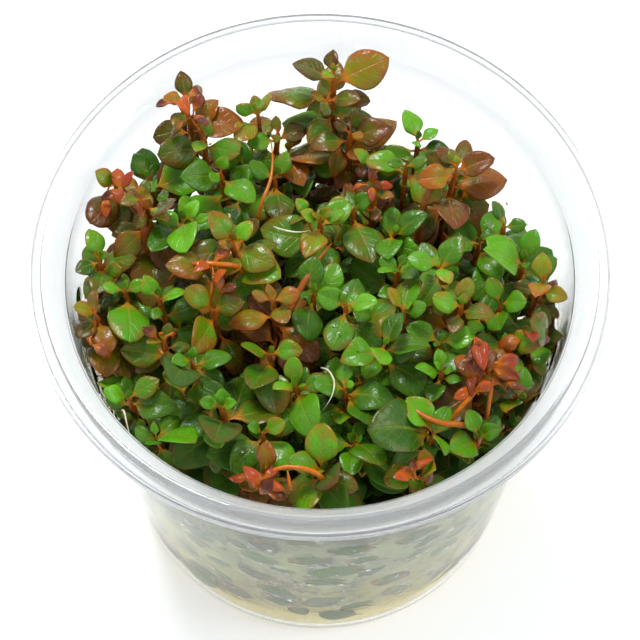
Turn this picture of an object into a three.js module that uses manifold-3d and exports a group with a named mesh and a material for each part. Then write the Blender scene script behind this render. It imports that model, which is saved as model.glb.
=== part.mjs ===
// Tissue culture plantlets of a red-tinted creeping water plant, rooted in jelly in an open clear cup.
// Millimetres, +Z up, origin at the middle of the cup's underside, +Y away from the viewer.

import * as THREE from "three";
import { mergeVertices } from "three/addons/utils/BufferGeometryUtils.js";
import Module from "manifold-3d";

const wasm = await Module();
wasm.setup();

// Driving dimensions of the cup
const RIM_RADIUS = 50;
const RIM_HEIGHT = 86;
const BEAD_RISE = 0.4;
const BEAD_OUTER_RADIUS = 47.4;
const BEAD_INNER_RADIUS = 46.6;
const LIP_DROP = 1.9;
const LIP_THICKNESS = 0.9;
const LIP_ROUND = 0.3;
const SHOULDER_DROP = 3.6;
const WALL_TOP_RADIUS = 44;
const BASE_RADIUS = 36.2;
const BASE_FILLET = 4.2;
const WALL_THICKNESS = 0.8;
const FLOOR_THICKNESS = 1.2;
const CUP_SIDES = 36;
const FILLET_STEPS = 2;

// Driving dimensions of the jelly
const GEL_TOP = 16;
const GEL_SIDES = 20;
const MENISCUS_RISE = 0.6;
const MENISCUS_WIDTH = 1.4;
const GAP = 0.3;

// Driving dimensions of the plants
const STEM_RADIUS = 0.75;
const STEM_SIDES = 3;
const STEM_STEPS = 2;
const FOOT_SPREAD = 0.78;
const FOOT_LIMIT = 32;
const FORK_SHARE = 0.5;
const BOW = 1;
const NODE_DROPS = [0.8, 3.2, 7.5, 13];
const NODE_LIFTS = [38, 18, 6, -4];
const STALK_LENGTH = 0.6;
const STALK_SHARE = 0.1;
const BLADE_WIDTH_SHARE = 0.74;
const LEAF_THICKNESS = 0.6;
const SMALLEST_LEAF = 3.5;
const SEED = 20731;

// A leaf's outline: where along the blade its two corners are, and how much of its width they have
const SHOULDERS = [0.28, 0.72];
const SHOULDER_WIDTHS = [1, 0.86];
const BELLY_SHARE = 0.45;

// Room that a leaf keeps to what is around it
const LEAF_CLEARANCE = 0.9;
const EDGE_CLEARANCE = 0.4;
const STEM_CLEARANCE = 1.3;
const WALL_CLEARANCE = 0.6;

// Where the points lie that stand for a leaf when it could touch something
const SAMPLE_LENGTHS = [0.2, 0.34, 0.48, 0.62, 0.76, 0.89, 1];
const SAMPLE_WIDTHS = [-1, -0.5, 0, 0.5, 1];

// Vertices nearer than this are one
const MERGE_DISTANCE = 1e-4;

// Each plant is a list of shoots, the first rooted in the jelly and the others branching from it.
// A shoot has its tip [x, y, z], its redness from 0 to 1, and its leaves from the top down, two at a
// joint, as [bearing, length]: degrees counter-clockwise from +X, and the blade's length.
const PLANTS = [
  [
    {
      tip: [2.5, 35, 90],
      red: 0.6,
      leaves: [[95, 3.6], [225, 3], [157, 6.8], [20, 9.2], [350, 5.6], [165, 10.4], [236, 6.4], [300, 6.6]],
    },
  ],
  [{ tip: [5.3, 28, 82], red: 0.8, leaves: [[150, 2.6], [320, 2.6], [192, 6], [8, 6.8], [40, 9.4], [178, 9.4]] }],
  [
    { tip: [-11, 32, 82], red: 0.6, leaves: [[175, 3.4], [32, 4.2], [215, 5.4], [100, 4]] },
    { tip: [-7.4, 29, 80], red: 0.7, leaves: [[100, 2.6], [262, 2.8], [165, 4.4], [20, 4.6], [332, 7.6]] },
  ],
  [
    {
      tip: [-23.6, 31.6, 87],
      red: 0.85,
      leaves: [[115, 4.4], [172, 3.4], [70, 4.2], [245, 4.2], [345, 8.4], [35, 5.6]],
    },
    { tip: [-20.3, 26.6, 82], red: 0.4, leaves: [[250, 3.8], [80, 3.4], [203, 8], [328, 7.6], [165, 7], [282, 5.6]] },
  ],
  [{ tip: [-35.6, 17, 83], red: 0.7, leaves: [[172, 4.2], [300, 2.6], [228, 8], [285, 4.8], [75, 4.6]] }],
  [{ tip: [-30.2, 20.6, 78], red: 0.25, leaves: [[125, 4.6], [290, 3.6], [105, 6.4], [20, 9.6]] }],
  [{ tip: [-17.4, 20, 82], red: 0.25, leaves: [[60, 3], [240, 3.2], [198, 7.8], [318, 6.8], [232, 9], [35, 6.6]] }],
  [{ tip: [9.4, 22.2, 80], red: 0.35, leaves: [[150, 4], [342, 4.6], [20, 6.6], [262, 4.8]] }],
  [{ tip: [17.3, 27.3, 80], red: 0.3, leaves: [[112, 5.2], [28, 3.4], [200, 5.2], [342, 5.4], [185, 7.4]] }],
  [
    {
      tip: [23.6, 17.5, 88],
      red: 0.8,
      leaves: [[290, 2.8], [110, 2.8], [17, 6.4], [195, 5.8], [6, 8.4], [116, 7.4], [310, 8.4], [208, 9.6]],
    },
  ],
  [{ tip: [15, 20, 84], red: 0.45, leaves: [[180, 2.8], [0, 3.6], [160, 6.2], [315, 7.4]] }],
  [{ tip: [0, 10, 83], red: 0.5, leaves: [[180, 3.6], [5, 4], [38, 5.8], [250, 6.4], [172, 9.2], [285, 6]] }],
  [{ tip: [9.7, 15.2, 82], red: 0.9, leaves: [[175, 2.8], [350, 2.8], [270, 3.2], [130, 4.2], [310, 6]] }],
  [
    {
      tip: [-30.3, 11.2, 88],
      red: 0.75,
      leaves: [[200, 3.6], [80, 2.8], [325, 4.2], [250, 3.2], [352, 7.6], [120, 6], [240, 9.4], [268, 11.6]],
    },
  ],
  [
    { tip: [-15, 4, 86], red: 0.6, leaves: [[140, 6], [35, 4.2], [330, 7.2], [195, 7], [20, 6.6], [322, 9.4]] },
    { tip: [-18.4, 0.4, 82], red: 0.8, leaves: [[185, 7.6], [10, 5.2], [265, 6.4]] },
  ],
  [{ tip: [-27.4, -4.8, 82], red: 0.2, leaves: [[130, 4], [0, 4.4], [60, 3.2], [250, 3], [20, 6]] }],
  [{ tip: [-26.4, -13, 82], red: 0.6, leaves: [[200, 2.8], [70, 2.8], [350, 3.4], [280, 3.6], [150, 6], [180, 7.4]] }],
  [{ tip: [-21.6, -17, 83], red: 0.3, leaves: [[100, 2.6], [200, 3.6], [8, 5.8], [325, 5.4], [292, 7.2]] }],
  [
    {
      tip: [4.4, -8.4, 87],
      red: 0.3,
      leaves: [[175, 5.2], [352, 5], [60, 3], [252, 7], [322, 6.6], [74, 7], [352, 9.4]],
    },
  ],
  [
    {
      tip: [-8, -6.6, 85],
      red: 0.85,
      leaves: [[165, 3.2], [5, 4.2], [100, 2.8], [300, 4.6], [188, 6.8], [22, 5.6], [282, 9.2]],
    },
  ],
  [
    {
      tip: [20.4, -1.2, 87],
      red: 0.3,
      leaves: [[170, 5], [285, 4.4], [55, 6.4], [246, 6.8], [108, 6.6], [335, 5.4]],
    },
  ],
  [{ tip: [13.4, 0.2, 83], red: 0.15, leaves: [[212, 4.2], [320, 4], [130, 3.8], [40, 4.2], [100, 5]] }],
  [{ tip: [24, -8.2, 86], red: 0.6, leaves: [[78, 4.6], [165, 5], [252, 4], [340, 5.4]] }],
  [{ tip: [14.2, -8.8, 85], red: 0.55, leaves: [[128, 4.2], [355, 4], [75, 6.8], [215, 5]] }],
  [
    {
      tip: [10.6, -15.4, 85],
      red: 0.25,
      leaves: [[60, 5.6], [262, 5.2], [15, 7], [196, 6.4], [322, 8.2], [130, 5]],
    },
  ],
  [
    { tip: [35, 2, 82], red: 0.25, leaves: [[185, 8], [70, 5.4], [132, 7.4], [305, 4.4]] },
    { tip: [31.6, 8.8, 83], red: 0.2, leaves: [[115, 4], [350, 3.4], [180, 3]] },
  ],
  [{ tip: [38, -3, 84], red: 0.7, leaves: [[95, 4.6], [250, 5.4], [175, 4], [340, 4], [12, 4.4]] }],
  [{ tip: [38.4, -10.4, 79], red: 0.55, leaves: [[100, 4.2], [210, 8], [290, 5], [160, 4.6]] }],
  [
    {
      tip: [28.2, -20, 84],
      red: 0.95,
      leaves: [[95, 4.2], [165, 4.6], [60, 5], [130, 5.4], [15, 5.4], [214, 10.2], [270, 4.4]],
    },
  ],
  [
    { tip: [20.6, -18.8, 82], red: 0.1, leaves: [[185, 4.8], [100, 3.4], [350, 3], [250, 4.4]] },
    { tip: [20.4, -12.6, 81], red: 0.2, leaves: [[172, 5.4], [8, 5.4], [285, 5], [340, 6]] },
  ],
  [
    {
      tip: [-16.4, -26, 84],
      red: 0.35,
      leaves: [[175, 3.4], [355, 3], [118, 5], [78, 4.4], [200, 6.8], [2, 9.4], [308, 6.4], [222, 7]],
    },
  ],
  [{ tip: [-32.4, -21.6, 78], red: 0.4, leaves: [[20, 5.6], [180, 4.4], [345, 7.4], [100, 4], [318, 8], [255, 4.8]] }],
  [{ tip: [-38.2, -7.8, 82], red: 0.75, leaves: [[182, 4], [100, 3.6], [220, 4.6], [290, 5.4], [262, 8], [300, 8.6]] }],
  [{ tip: [-33.6, -2.4, 80], red: 0.3, leaves: [[175, 3.4], [20, 3.4], [262, 9.4], [100, 3.6]] }],
  [{ tip: [-38.2, 3.4, 80], red: 0.5, leaves: [[105, 5], [215, 4], [265, 5.6], [330, 4.4]] }],
  [{ tip: [-23.8, 9.4, 83], red: 0.15, leaves: [[275, 7.6], [50, 4], [228, 7.6], [150, 4.4]] }],
  [{ tip: [-8.6, -14.4, 80], red: 0.45, leaves: [[182, 5.4], [0, 5], [246, 7.6], [290, 8.2]] }],
  [{ tip: [-3.8, -20.8, 81], red: 0.35, leaves: [[100, 4.4], [200, 4.4], [286, 8.8], [20, 5.2], [240, 6]] }],
  [{ tip: [4.2, -21.4, 81], red: 0.3, leaves: [[92, 4.4], [170, 5], [340, 8], [300, 9], [215, 6]] }],
  [
    {
      tip: [0.4, -35.4, 79],
      red: 0.5,
      leaves: [[88, 7.4], [160, 5.6], [240, 7], [335, 5.4], [285, 5.8]],
    },
    { tip: [-9.4, -35.8, 79], red: 0.9, leaves: [[150, 2.8], [85, 4.6], [305, 5.4], [205, 4.6]] },
  ],
  [{ tip: [19, -29.4, 81], red: 0.35, leaves: [[130, 6.4], [290, 4.6], [178, 12], [60, 5]] }],
  [{ tip: [17.2, -35.4, 78], red: 0.6, leaves: [[95, 3.8], [330, 4.4], [185, 5.4], [250, 4.4]] }],
  [{ tip: [26.8, -29.2, 79], red: 0.2, leaves: [[345, 4.4], [120, 4.4], [215, 6.4], [50, 4.6]] }],
  [{ tip: [33.4, -21.8, 79], red: 0.35, leaves: [[170, 4.2], [85, 4.4], [245, 5.4], [320, 4]] }],
  [{ tip: [5.8, 13.6, 80], red: 0.4, leaves: [[20, 4], [160, 3.6], [288, 9.6], [95, 4.6]] }],
  [{ tip: [-8, 21.6, 77], red: 0.4, leaves: [[60, 4.4], [165, 4.8], [278, 7.4], [228, 6.6]] }],
  [{ tip: [-27.6, -28.2, 76], red: 0.3, leaves: [[318, 9], [20, 4.4], [150, 4], [250, 5]] }],
  [{ tip: [-1.2, -3.4, 81], red: 0.1, leaves: [[90, 5.6], [330, 4.4], [262, 7.8], [52, 6.6], [160, 5]] }],
  [{ tip: [-2.6, 27.4, 72], red: 0.15, leaves: [[180, 5.6], [350, 5.8], [80, 5], [270, 6.4]] }],
  [{ tip: [-13.6, 25.6, 73], red: 0.2, leaves: [[0, 6], [185, 6.2], [300, 6.6], [100, 5.6]] }],
  [{ tip: [24.4, 22.6, 74], red: 0.2, leaves: [[320, 7], [140, 6.6], [50, 6], [225, 6.4]] }],
  [{ tip: [27.8, 8, 78], red: 0.15, leaves: [[60, 6], [200, 6], [300, 6.4], [130, 5.4]] }],
  [{ tip: [12.6, 9, 79], red: 0.15, leaves: [[260, 6.4], [20, 6.6], [172, 5], [85, 5.4]] }],
  [{ tip: [-18.4, -7, 82], red: 0.6, leaves: [[152, 5.6], [0, 5.4], [250, 8.4], [60, 4]] }],
  [{ tip: [-9.6, -29, 80], red: 0.2, leaves: [[170, 2.8], [20, 3.8], [298, 6.6], [230, 6.8]] }],
  [{ tip: [6, -29.4, 77], red: 0.2, leaves: [[82, 4], [318, 7.6], [260, 5.4], [175, 5.4]] }],
  [
    { tip: [31, -5.4, 81], red: 0.35, leaves: [[120, 4.4], [340, 5], [270, 5.4]] },
    { tip: [32, -13, 80], red: 0.4, leaves: [[172, 5.6], [355, 5.2], [285, 5.6], [80, 4.4]] },
  ],
];

// Repeatable pseudo-random numbers, so that the plants always grow the same way
function makeRandom(seed) {
  let state = seed;
  return () => {
    state = (state * 16807) % 2147483647;
    return state / 2147483647;
  };
}

const radians = (degrees) => (degrees * Math.PI) / 180;
const dot = (a, b) => a[0] * b[0] + a[1] * b[1] + a[2] * b[2];
const minus = (a, b) => [a[0] - b[0], a[1] - b[1], a[2] - b[2]];

// The wall's outer and inner radius at a height
const shoulderHeight = RIM_HEIGHT - SHOULDER_DROP;
const wallSlope = (WALL_TOP_RADIUS - BASE_RADIUS) / (shoulderHeight - BASE_FILLET);
const outerRadius = (z) => BASE_RADIUS + wallSlope * (z - BASE_FILLET);
const innerRadius = (z) => outerRadius(Math.min(z, shoulderHeight)) - WALL_THICKNESS;

// The corner between floor and wall as points of an arc about the fillet's centre
function filletPoints(radius) {
  const centre = BASE_RADIUS - BASE_FILLET;
  return Array.from({ length: FILLET_STEPS + 1 }, (_, i) => {
    const angle = (Math.PI / 2) * (i / FILLET_STEPS);
    return [centre + radius * Math.sin(angle), BASE_FILLET - radius * Math.cos(angle)];
  });
}

function latheOf(profile, sides) {
  const geometry = new THREE.LatheGeometry(
    profile.map(([r, z]) => new THREE.Vector2(r, z)),
    sides,
  );
  return geometry.rotateX(Math.PI / 2);
}

// Cup: floor, tapered wall, sloped shoulder, seat bead and rolled lip in one moulding
function cupGeometry() {
  const lipFoot = RIM_HEIGHT - LIP_DROP;
  const lipInside = RIM_RADIUS - LIP_THICKNESS;
  const flangeUnderside = RIM_HEIGHT - LIP_THICKNESS;
  const outside = [
    [0, 0],
    ...filletPoints(BASE_FILLET),
    [WALL_TOP_RADIUS, shoulderHeight],
    [BEAD_INNER_RADIUS, flangeUnderside],
    [lipInside, flangeUnderside],
    [lipInside, lipFoot],
    [RIM_RADIUS, lipFoot],
    [RIM_RADIUS, RIM_HEIGHT - LIP_ROUND],
    [RIM_RADIUS - LIP_ROUND, RIM_HEIGHT],
    [BEAD_OUTER_RADIUS, RIM_HEIGHT],
    [BEAD_OUTER_RADIUS - BEAD_RISE / 2, RIM_HEIGHT + BEAD_RISE],
    [BEAD_INNER_RADIUS, RIM_HEIGHT + BEAD_RISE],
  ];
  const inside = [
    [0, FLOOR_THICKNESS],
    ...filletPoints(BASE_FILLET - WALL_THICKNESS).map(([r, z]) => [r, z + FLOOR_THICKNESS - WALL_THICKNESS]),
    [WALL_TOP_RADIUS - WALL_THICKNESS, shoulderHeight],
  ];
  return latheOf([...outside, ...inside.reverse()], CUP_SIDES);
}

// Jelly: it fills the foot of the cup and creeps a little way up the wall
function gelGeometry() {
  const corner = filletPoints(BASE_FILLET - WALL_THICKNESS - GAP);
  const lift = FLOOR_THICKNESS - WALL_THICKNESS;
  const edge = innerRadius(GEL_TOP) - GAP;
  return latheOf(
    [
      [0, FLOOR_THICKNESS + GAP],
      ...corner.map(([r, z]) => [r, z + lift]),
      [edge, GEL_TOP + MENISCUS_RISE],
      [edge - MENISCUS_WIDTH, GEL_TOP],
      [0, GEL_TOP],
    ],
    GEL_SIDES,
  );
}

// A stem is a gentle arc from foot to tip whose height grows evenly along it.
function makeStem(foot, tip, random) {
  const knee = [
    (foot[0] + tip[0]) / 2 + BOW * (2 * random() - 1),
    (foot[1] + tip[1]) / 2 + BOW * (2 * random() - 1),
    (foot[2] + tip[2]) / 2,
  ];
  return { foot, knee, tip };
}

function stemPoint({ foot, knee, tip }, z) {
  const t = (z - foot[2]) / (tip[2] - foot[2]);
  return [0, 1, 2].map((k) => (1 - t) ** 2 * foot[k] + 2 * t * (1 - t) * knee[k] + t ** 2 * tip[k]);
}

// The foot of a plant stands on the jelly, nearer the middle than its tip.
function rootFoot(tip) {
  const spread = Math.min(FOOT_SPREAD, FOOT_LIMIT / Math.hypot(tip[0], tip[1]));
  return [tip[0] * spread, tip[1] * spread, GEL_TOP + GAP];
}

// A leaf's own axes: along points from the stem to the leaf's tip, up is its upper face.
function orient(leaf, turn, tilt, scale) {
  const bearing = radians(leaf.bearing + turn);
  const lift = radians(leaf.lift + tilt);
  const blade = leaf.blade * scale;
  const stalk = STALK_LENGTH + STALK_SHARE * blade;
  return {
    ...leaf,
    blade,
    stalk,
    reach: stalk + blade,
    halfWidth: (BLADE_WIDTH_SHARE * blade) / 2,
    along: [Math.cos(lift) * Math.cos(bearing), Math.cos(lift) * Math.sin(bearing), Math.sin(lift)],
    across: [-Math.sin(bearing), Math.cos(bearing), 0],
    up: [-Math.sin(lift) * Math.cos(bearing), -Math.sin(lift) * Math.sin(bearing), Math.cos(lift)],
  };
}

// Half a leaf's width at a distance from the stem
function halfWidthAt(leaf, u) {
  const lower = leaf.stalk + SHOULDERS[0] * leaf.blade;
  const upper = leaf.stalk + SHOULDERS[1] * leaf.blade;
  const widths = SHOULDER_WIDTHS.map((w) => w * leaf.halfWidth);
  if (u < lower) return (widths[0] * u) / lower;
  if (u < upper) return widths[0] + ((widths[1] - widths[0]) * (u - lower)) / (upper - lower);
  return (widths[1] * (leaf.reach - u)) / (leaf.reach - upper);
}

function leafPoint(leaf, u, v, w) {
  return [0, 1, 2].map((k) => leaf.node[k] + u * leaf.along[k] + v * leaf.across[k] + w * leaf.up[k]);
}

function samplePoints(leaf) {
  return SAMPLE_LENGTHS.flatMap((share) => {
    const u = share * leaf.reach;
    return SAMPLE_WIDTHS.map((side) => leafPoint(leaf, u, side * halfWidthAt(leaf, u), 0));
  });
}

function pointTouchesLeaf(point, leaf) {
  const offset = minus(point, leaf.node);
  const u = dot(offset, leaf.along);
  if (u < 0 || u > leaf.reach + EDGE_CLEARANCE) return false;
  if (Math.abs(dot(offset, leaf.up)) > LEAF_CLEARANCE) return false;
  const inside = Math.min(u, leaf.reach);
  return Math.abs(dot(offset, leaf.across)) < halfWidthAt(leaf, inside) + EDGE_CLEARANCE;
}

function leavesTouch(a, b) {
  const apart = minus(a.node, b.node);
  if (Math.hypot(...apart) > a.reach + b.reach + LEAF_CLEARANCE) return false;
  const share = a.stem === b.stem ? 2 * SAMPLE_WIDTHS.length : 0;
  return (
    a.samples.slice(share).some((p) => pointTouchesLeaf(p, b)) ||
    b.samples.slice(share).some((p) => pointTouchesLeaf(p, a))
  );
}

function pointTouchesStem(point, stem) {
  const z = Math.max(stem.foot[2], Math.min(point[2], stem.tip[2]));
  return Math.hypot(...minus(point, stemPoint(stem, z))) < STEM_CLEARANCE;
}

function pointTouchesCup([x, y, z]) {
  const limit = z > shoulderHeight ? innerRadius(shoulderHeight) : innerRadius(z);
  return Math.hypot(x, y) > limit - WALL_CLEARANCE || z < GEL_TOP + WALL_CLEARANCE;
}

// Ways to turn, tilt and shrink a leaf that has no room as it stands, the mildest first
const MOVES = [1, 0.88, 0.75, 0.6].flatMap((scale) =>
  [[0, 0], [0, 12], [0, -12], [12, 0], [-12, 0], [14, 14], [-14, 14], [14, -14], [-14, -14], [0, 26], [0, -24]]
    .concat([[26, 6], [-26, 6], [26, -14], [-26, -14], [0, 42], [22, 34], [-22, 34]])
    .map(([turn, tilt]) => ({ turn, tilt, scale })),
);

// The leaf in the first of those ways that touches nothing, or null
function settle(leaf, settled, stems) {
  for (const { turn, tilt, scale } of MOVES) {
    const moved = orient(leaf, turn, tilt, scale);
    moved.samples = samplePoints(moved);
    const blocked =
      moved.samples.some(pointTouchesCup) ||
      stems.some((stem) => stem !== leaf.stem && moved.samples.some((p) => pointTouchesStem(p, stem))) ||
      settled.some((other) => leavesTouch(moved, other));
    if (!blocked) return moved;
  }
  return null;
}

// Grows every plant: its stems, and its leaves where they have room, the highest first.
function growPlants() {
  const random = makeRandom(SEED);
  const plants = PLANTS.map((shoots) => {
    const stems = [];
    for (const { tip } of shoots) {
      const fork = stems.length ? stemPoint(stems[0], FORK_SHARE * stems[0].tip[2]) : rootFoot(tip);
      stems.push(makeStem(fork, tip, random));
    }
    return { stems, leaves: [], red: shoots[0].red };
  });
  const wanted = PLANTS.flatMap((shoots, plant) =>
    shoots.flatMap(({ tip, leaves }, shoot) =>
      leaves.map(([bearing, blade], i) => {
        const joint = Math.floor(i / 2);
        const stem = plants[plant].stems[shoot];
        const node = stemPoint(stem, tip[2] - NODE_DROPS[joint]);
        return { plant, stem, node, bearing, blade, lift: NODE_LIFTS[joint] };
      }),
    ),
  ).filter((leaf) => leaf.blade >= SMALLEST_LEAF);
  wanted.sort((a, b) => b.node[2] - a.node[2]);
  const stems = plants.flatMap((plant) => plant.stems);
  const settled = [];
  for (const leaf of wanted) {
    const placed = settle(leaf, settled, stems);
    if (placed) {
      settled.push(placed);
      plants[leaf.plant].leaves.push(placed);
    }
  }
  return plants;
}

// A geometry as a solid that can be joined
function solidOf(geometry) {
  geometry.deleteAttribute("normal");
  geometry.deleteAttribute("uv");
  const merged = mergeVertices(geometry, MERGE_DISTANCE);
  return new wasm.Manifold(
    new wasm.Mesh({
      numProp: 3,
      vertProperties: new Float32Array(merged.attributes.position.array),
      triVerts: new Uint32Array(merged.index.array),
    }),
  );
}

function geometryOf(solid) {
  const mesh = solid.getMesh();
  const geometry = new THREE.BufferGeometry();
  geometry.setAttribute("position", new THREE.BufferAttribute(mesh.vertProperties, 3));
  geometry.setIndex(new THREE.BufferAttribute(mesh.triVerts, 1));
  geometry.computeVertexNormals();
  return geometry;
}

function stemSolid({ foot, knee, tip }) {
  const section = new THREE.Shape();
  for (let i = 0; i < STEM_SIDES; i++) {
    const angle = (2 * Math.PI * i) / STEM_SIDES;
    const point = [STEM_RADIUS * Math.cos(angle), STEM_RADIUS * Math.sin(angle)];
    if (i === 0) section.moveTo(...point);
    else section.lineTo(...point);
  }
  section.closePath();
  const path = new THREE.QuadraticBezierCurve3(
    new THREE.Vector3(...foot),
    new THREE.Vector3(...knee),
    new THREE.Vector3(...tip),
  );
  return solidOf(new THREE.ExtrudeGeometry(section, { steps: STEM_STEPS, extrudePath: path }));
}

// A leaf starts as a six-sided double pyramid: its ring becomes the outline, its two points the faces.
function leafSolid(leaf) {
  const geometry = new THREE.SphereGeometry(1, 6, 2);
  const position = geometry.attributes.position;
  const [lower, upper] = SHOULDERS.map((share) => leaf.stalk + share * leaf.blade);
  const belly = leaf.stalk + BELLY_SHARE * leaf.blade;
  const ring = new Map([[-2, 0], [-1, lower], [1, upper], [2, leaf.reach]]);
  for (let i = 0; i < position.count; i++) {
    const face = Math.round(position.getY(i));
    const side = Math.round(position.getZ(i));
    const u = face === 0 ? ring.get(Math.round(-2 * position.getX(i))) : belly;
    const v = side * halfWidthAt(leaf, u);
    const w = (face * LEAF_THICKNESS) / 2;
    position.setXYZ(i, ...leafPoint(leaf, u, v, w));
  }
  return solidOf(geometry);
}

function plantSolid(plant) {
  const pieces = [...plant.stems.map(stemSolid), ...plant.leaves.map(leafSolid)];
  return pieces.reduce((joined, piece) => joined.add(piece));
}

const GREEN = new THREE.Color(0x4f8a1c);
const BRONZE = new THREE.Color(0x8a3f1f);

function plantMaterial(red) {
  return new THREE.MeshStandardMaterial({
    color: GREEN.clone().lerp(BRONZE, red),
    roughness: 0.35,
    metalness: 0,
  });
}

const cupMaterial = new THREE.MeshStandardMaterial({
  color: 0xe9eeec,
  roughness: 0.15,
  metalness: 0,
  transparent: true,
  opacity: 0.35,
});
const gelMaterial = new THREE.MeshStandardMaterial({ color: 0xd9cfae, roughness: 0.3, metalness: 0 });

const cultureCup = new THREE.Group();

function addMesh(name, geometry, material) {
  const mesh = new THREE.Mesh(geometry, material);
  mesh.name = name;
  cultureCup.add(mesh);
}

addMesh("cup", cupGeometry(), cupMaterial);
addMesh("gel", gelGeometry(), gelMaterial);
growPlants().forEach((plant, i) => {
  const name = "plantlet_" + String(i + 1).padStart(2, "0");
  addMesh(name, geometryOf(plantSolid(plant)), plantMaterial(plant.red));
});

export default cultureCup;
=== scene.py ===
"""Tissue culture plantlets of a red-tinted creeping water plant in an open clear cup, for Blender 4.5.

Lengths are in millimetres until a mesh is made, with the origin in the middle of the cup's underside,
+Z up and +Y away from the camera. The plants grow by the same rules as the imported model's.
"""

import collections
import copy
import math

import bpy
import numpy as np
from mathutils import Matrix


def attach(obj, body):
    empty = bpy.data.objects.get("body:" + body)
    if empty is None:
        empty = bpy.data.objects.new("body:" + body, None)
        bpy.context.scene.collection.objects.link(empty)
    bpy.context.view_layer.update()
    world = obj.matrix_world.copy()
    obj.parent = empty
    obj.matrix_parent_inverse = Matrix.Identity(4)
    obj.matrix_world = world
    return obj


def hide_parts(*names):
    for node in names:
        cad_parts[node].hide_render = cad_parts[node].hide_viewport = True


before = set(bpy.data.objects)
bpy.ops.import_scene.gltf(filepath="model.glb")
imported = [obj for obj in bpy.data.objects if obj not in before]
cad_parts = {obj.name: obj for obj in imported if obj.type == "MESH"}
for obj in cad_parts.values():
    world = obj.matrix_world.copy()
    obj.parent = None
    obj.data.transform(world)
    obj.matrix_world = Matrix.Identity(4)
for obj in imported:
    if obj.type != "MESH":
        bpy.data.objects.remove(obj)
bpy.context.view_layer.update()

MM = 0.001

# Cup
RIM_RADIUS = 50.0
RIM_HEIGHT = 86.0
BEAD_RISE = 0.4
BEAD_OUTER_RADIUS = 47.4
BEAD_INNER_RADIUS = 46.6
LIP_DROP = 1.9
LIP_THICKNESS = 0.9
LIP_ROUND = 0.4
SHOULDER_DROP = 3.6
WALL_TOP_RADIUS = 44.0
BASE_RADIUS = 36.2
BASE_FILLET = 4.2
WALL_THICKNESS = 0.8
FLOOR_THICKNESS = 1.2
CUP_SIDES = 300
CUP_WALL_ROWS = 64
WALL_THINNING = 0.36
THINNING_START = 62.0
WALL_IOR = 1.13
RIM_IOR = 1.45

# Jelly
GEL_TOP = 16.0
GEL_SIDES = 96
MENISCUS_RISE = 0.6
MENISCUS_WIDTH = 1.4
GAP = 0.3

# Stems
STEM_SIDES = 9
STEM_STEPS = 26
FOOT_SPREAD = 0.78
FOOT_LIMIT = 32.0
FORK_SHARE = 0.5
BOW = 1.0
STEM_FOOT_RADIUS = 0.72
STEM_TIP_RADIUS = 0.42
STEM_ROOTED = 2.0
JOINT_SWELLING = 0.12
JOINT_LENGTH = 0.9

# Leaves
NODE_DROPS = (0.8, 3.2, 7.5, 13.0)
NODE_LIFTS = (38.0, 18.0, 6.0, -4.0)
STALK_LENGTH = 0.6
STALK_SHARE = 0.1
BLADE_WIDTH_SHARE = 0.74
SMALLEST_SOLID_LEAF = 3.5
SEED = 20731
SHOULDERS = (0.28, 0.72)
SHOULDER_WIDTHS = (1.0, 0.86)
LEAF_CLEARANCE = 0.9
EDGE_CLEARANCE = 0.4
STEM_CLEARANCE = 1.3
WALL_CLEARANCE = 0.6
SAMPLE_LENGTHS = (0.2, 0.34, 0.48, 0.62, 0.76, 0.89, 1.0)
SAMPLE_WIDTHS = (-1.0, -0.5, 0.0, 0.5, 1.0)

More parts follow.
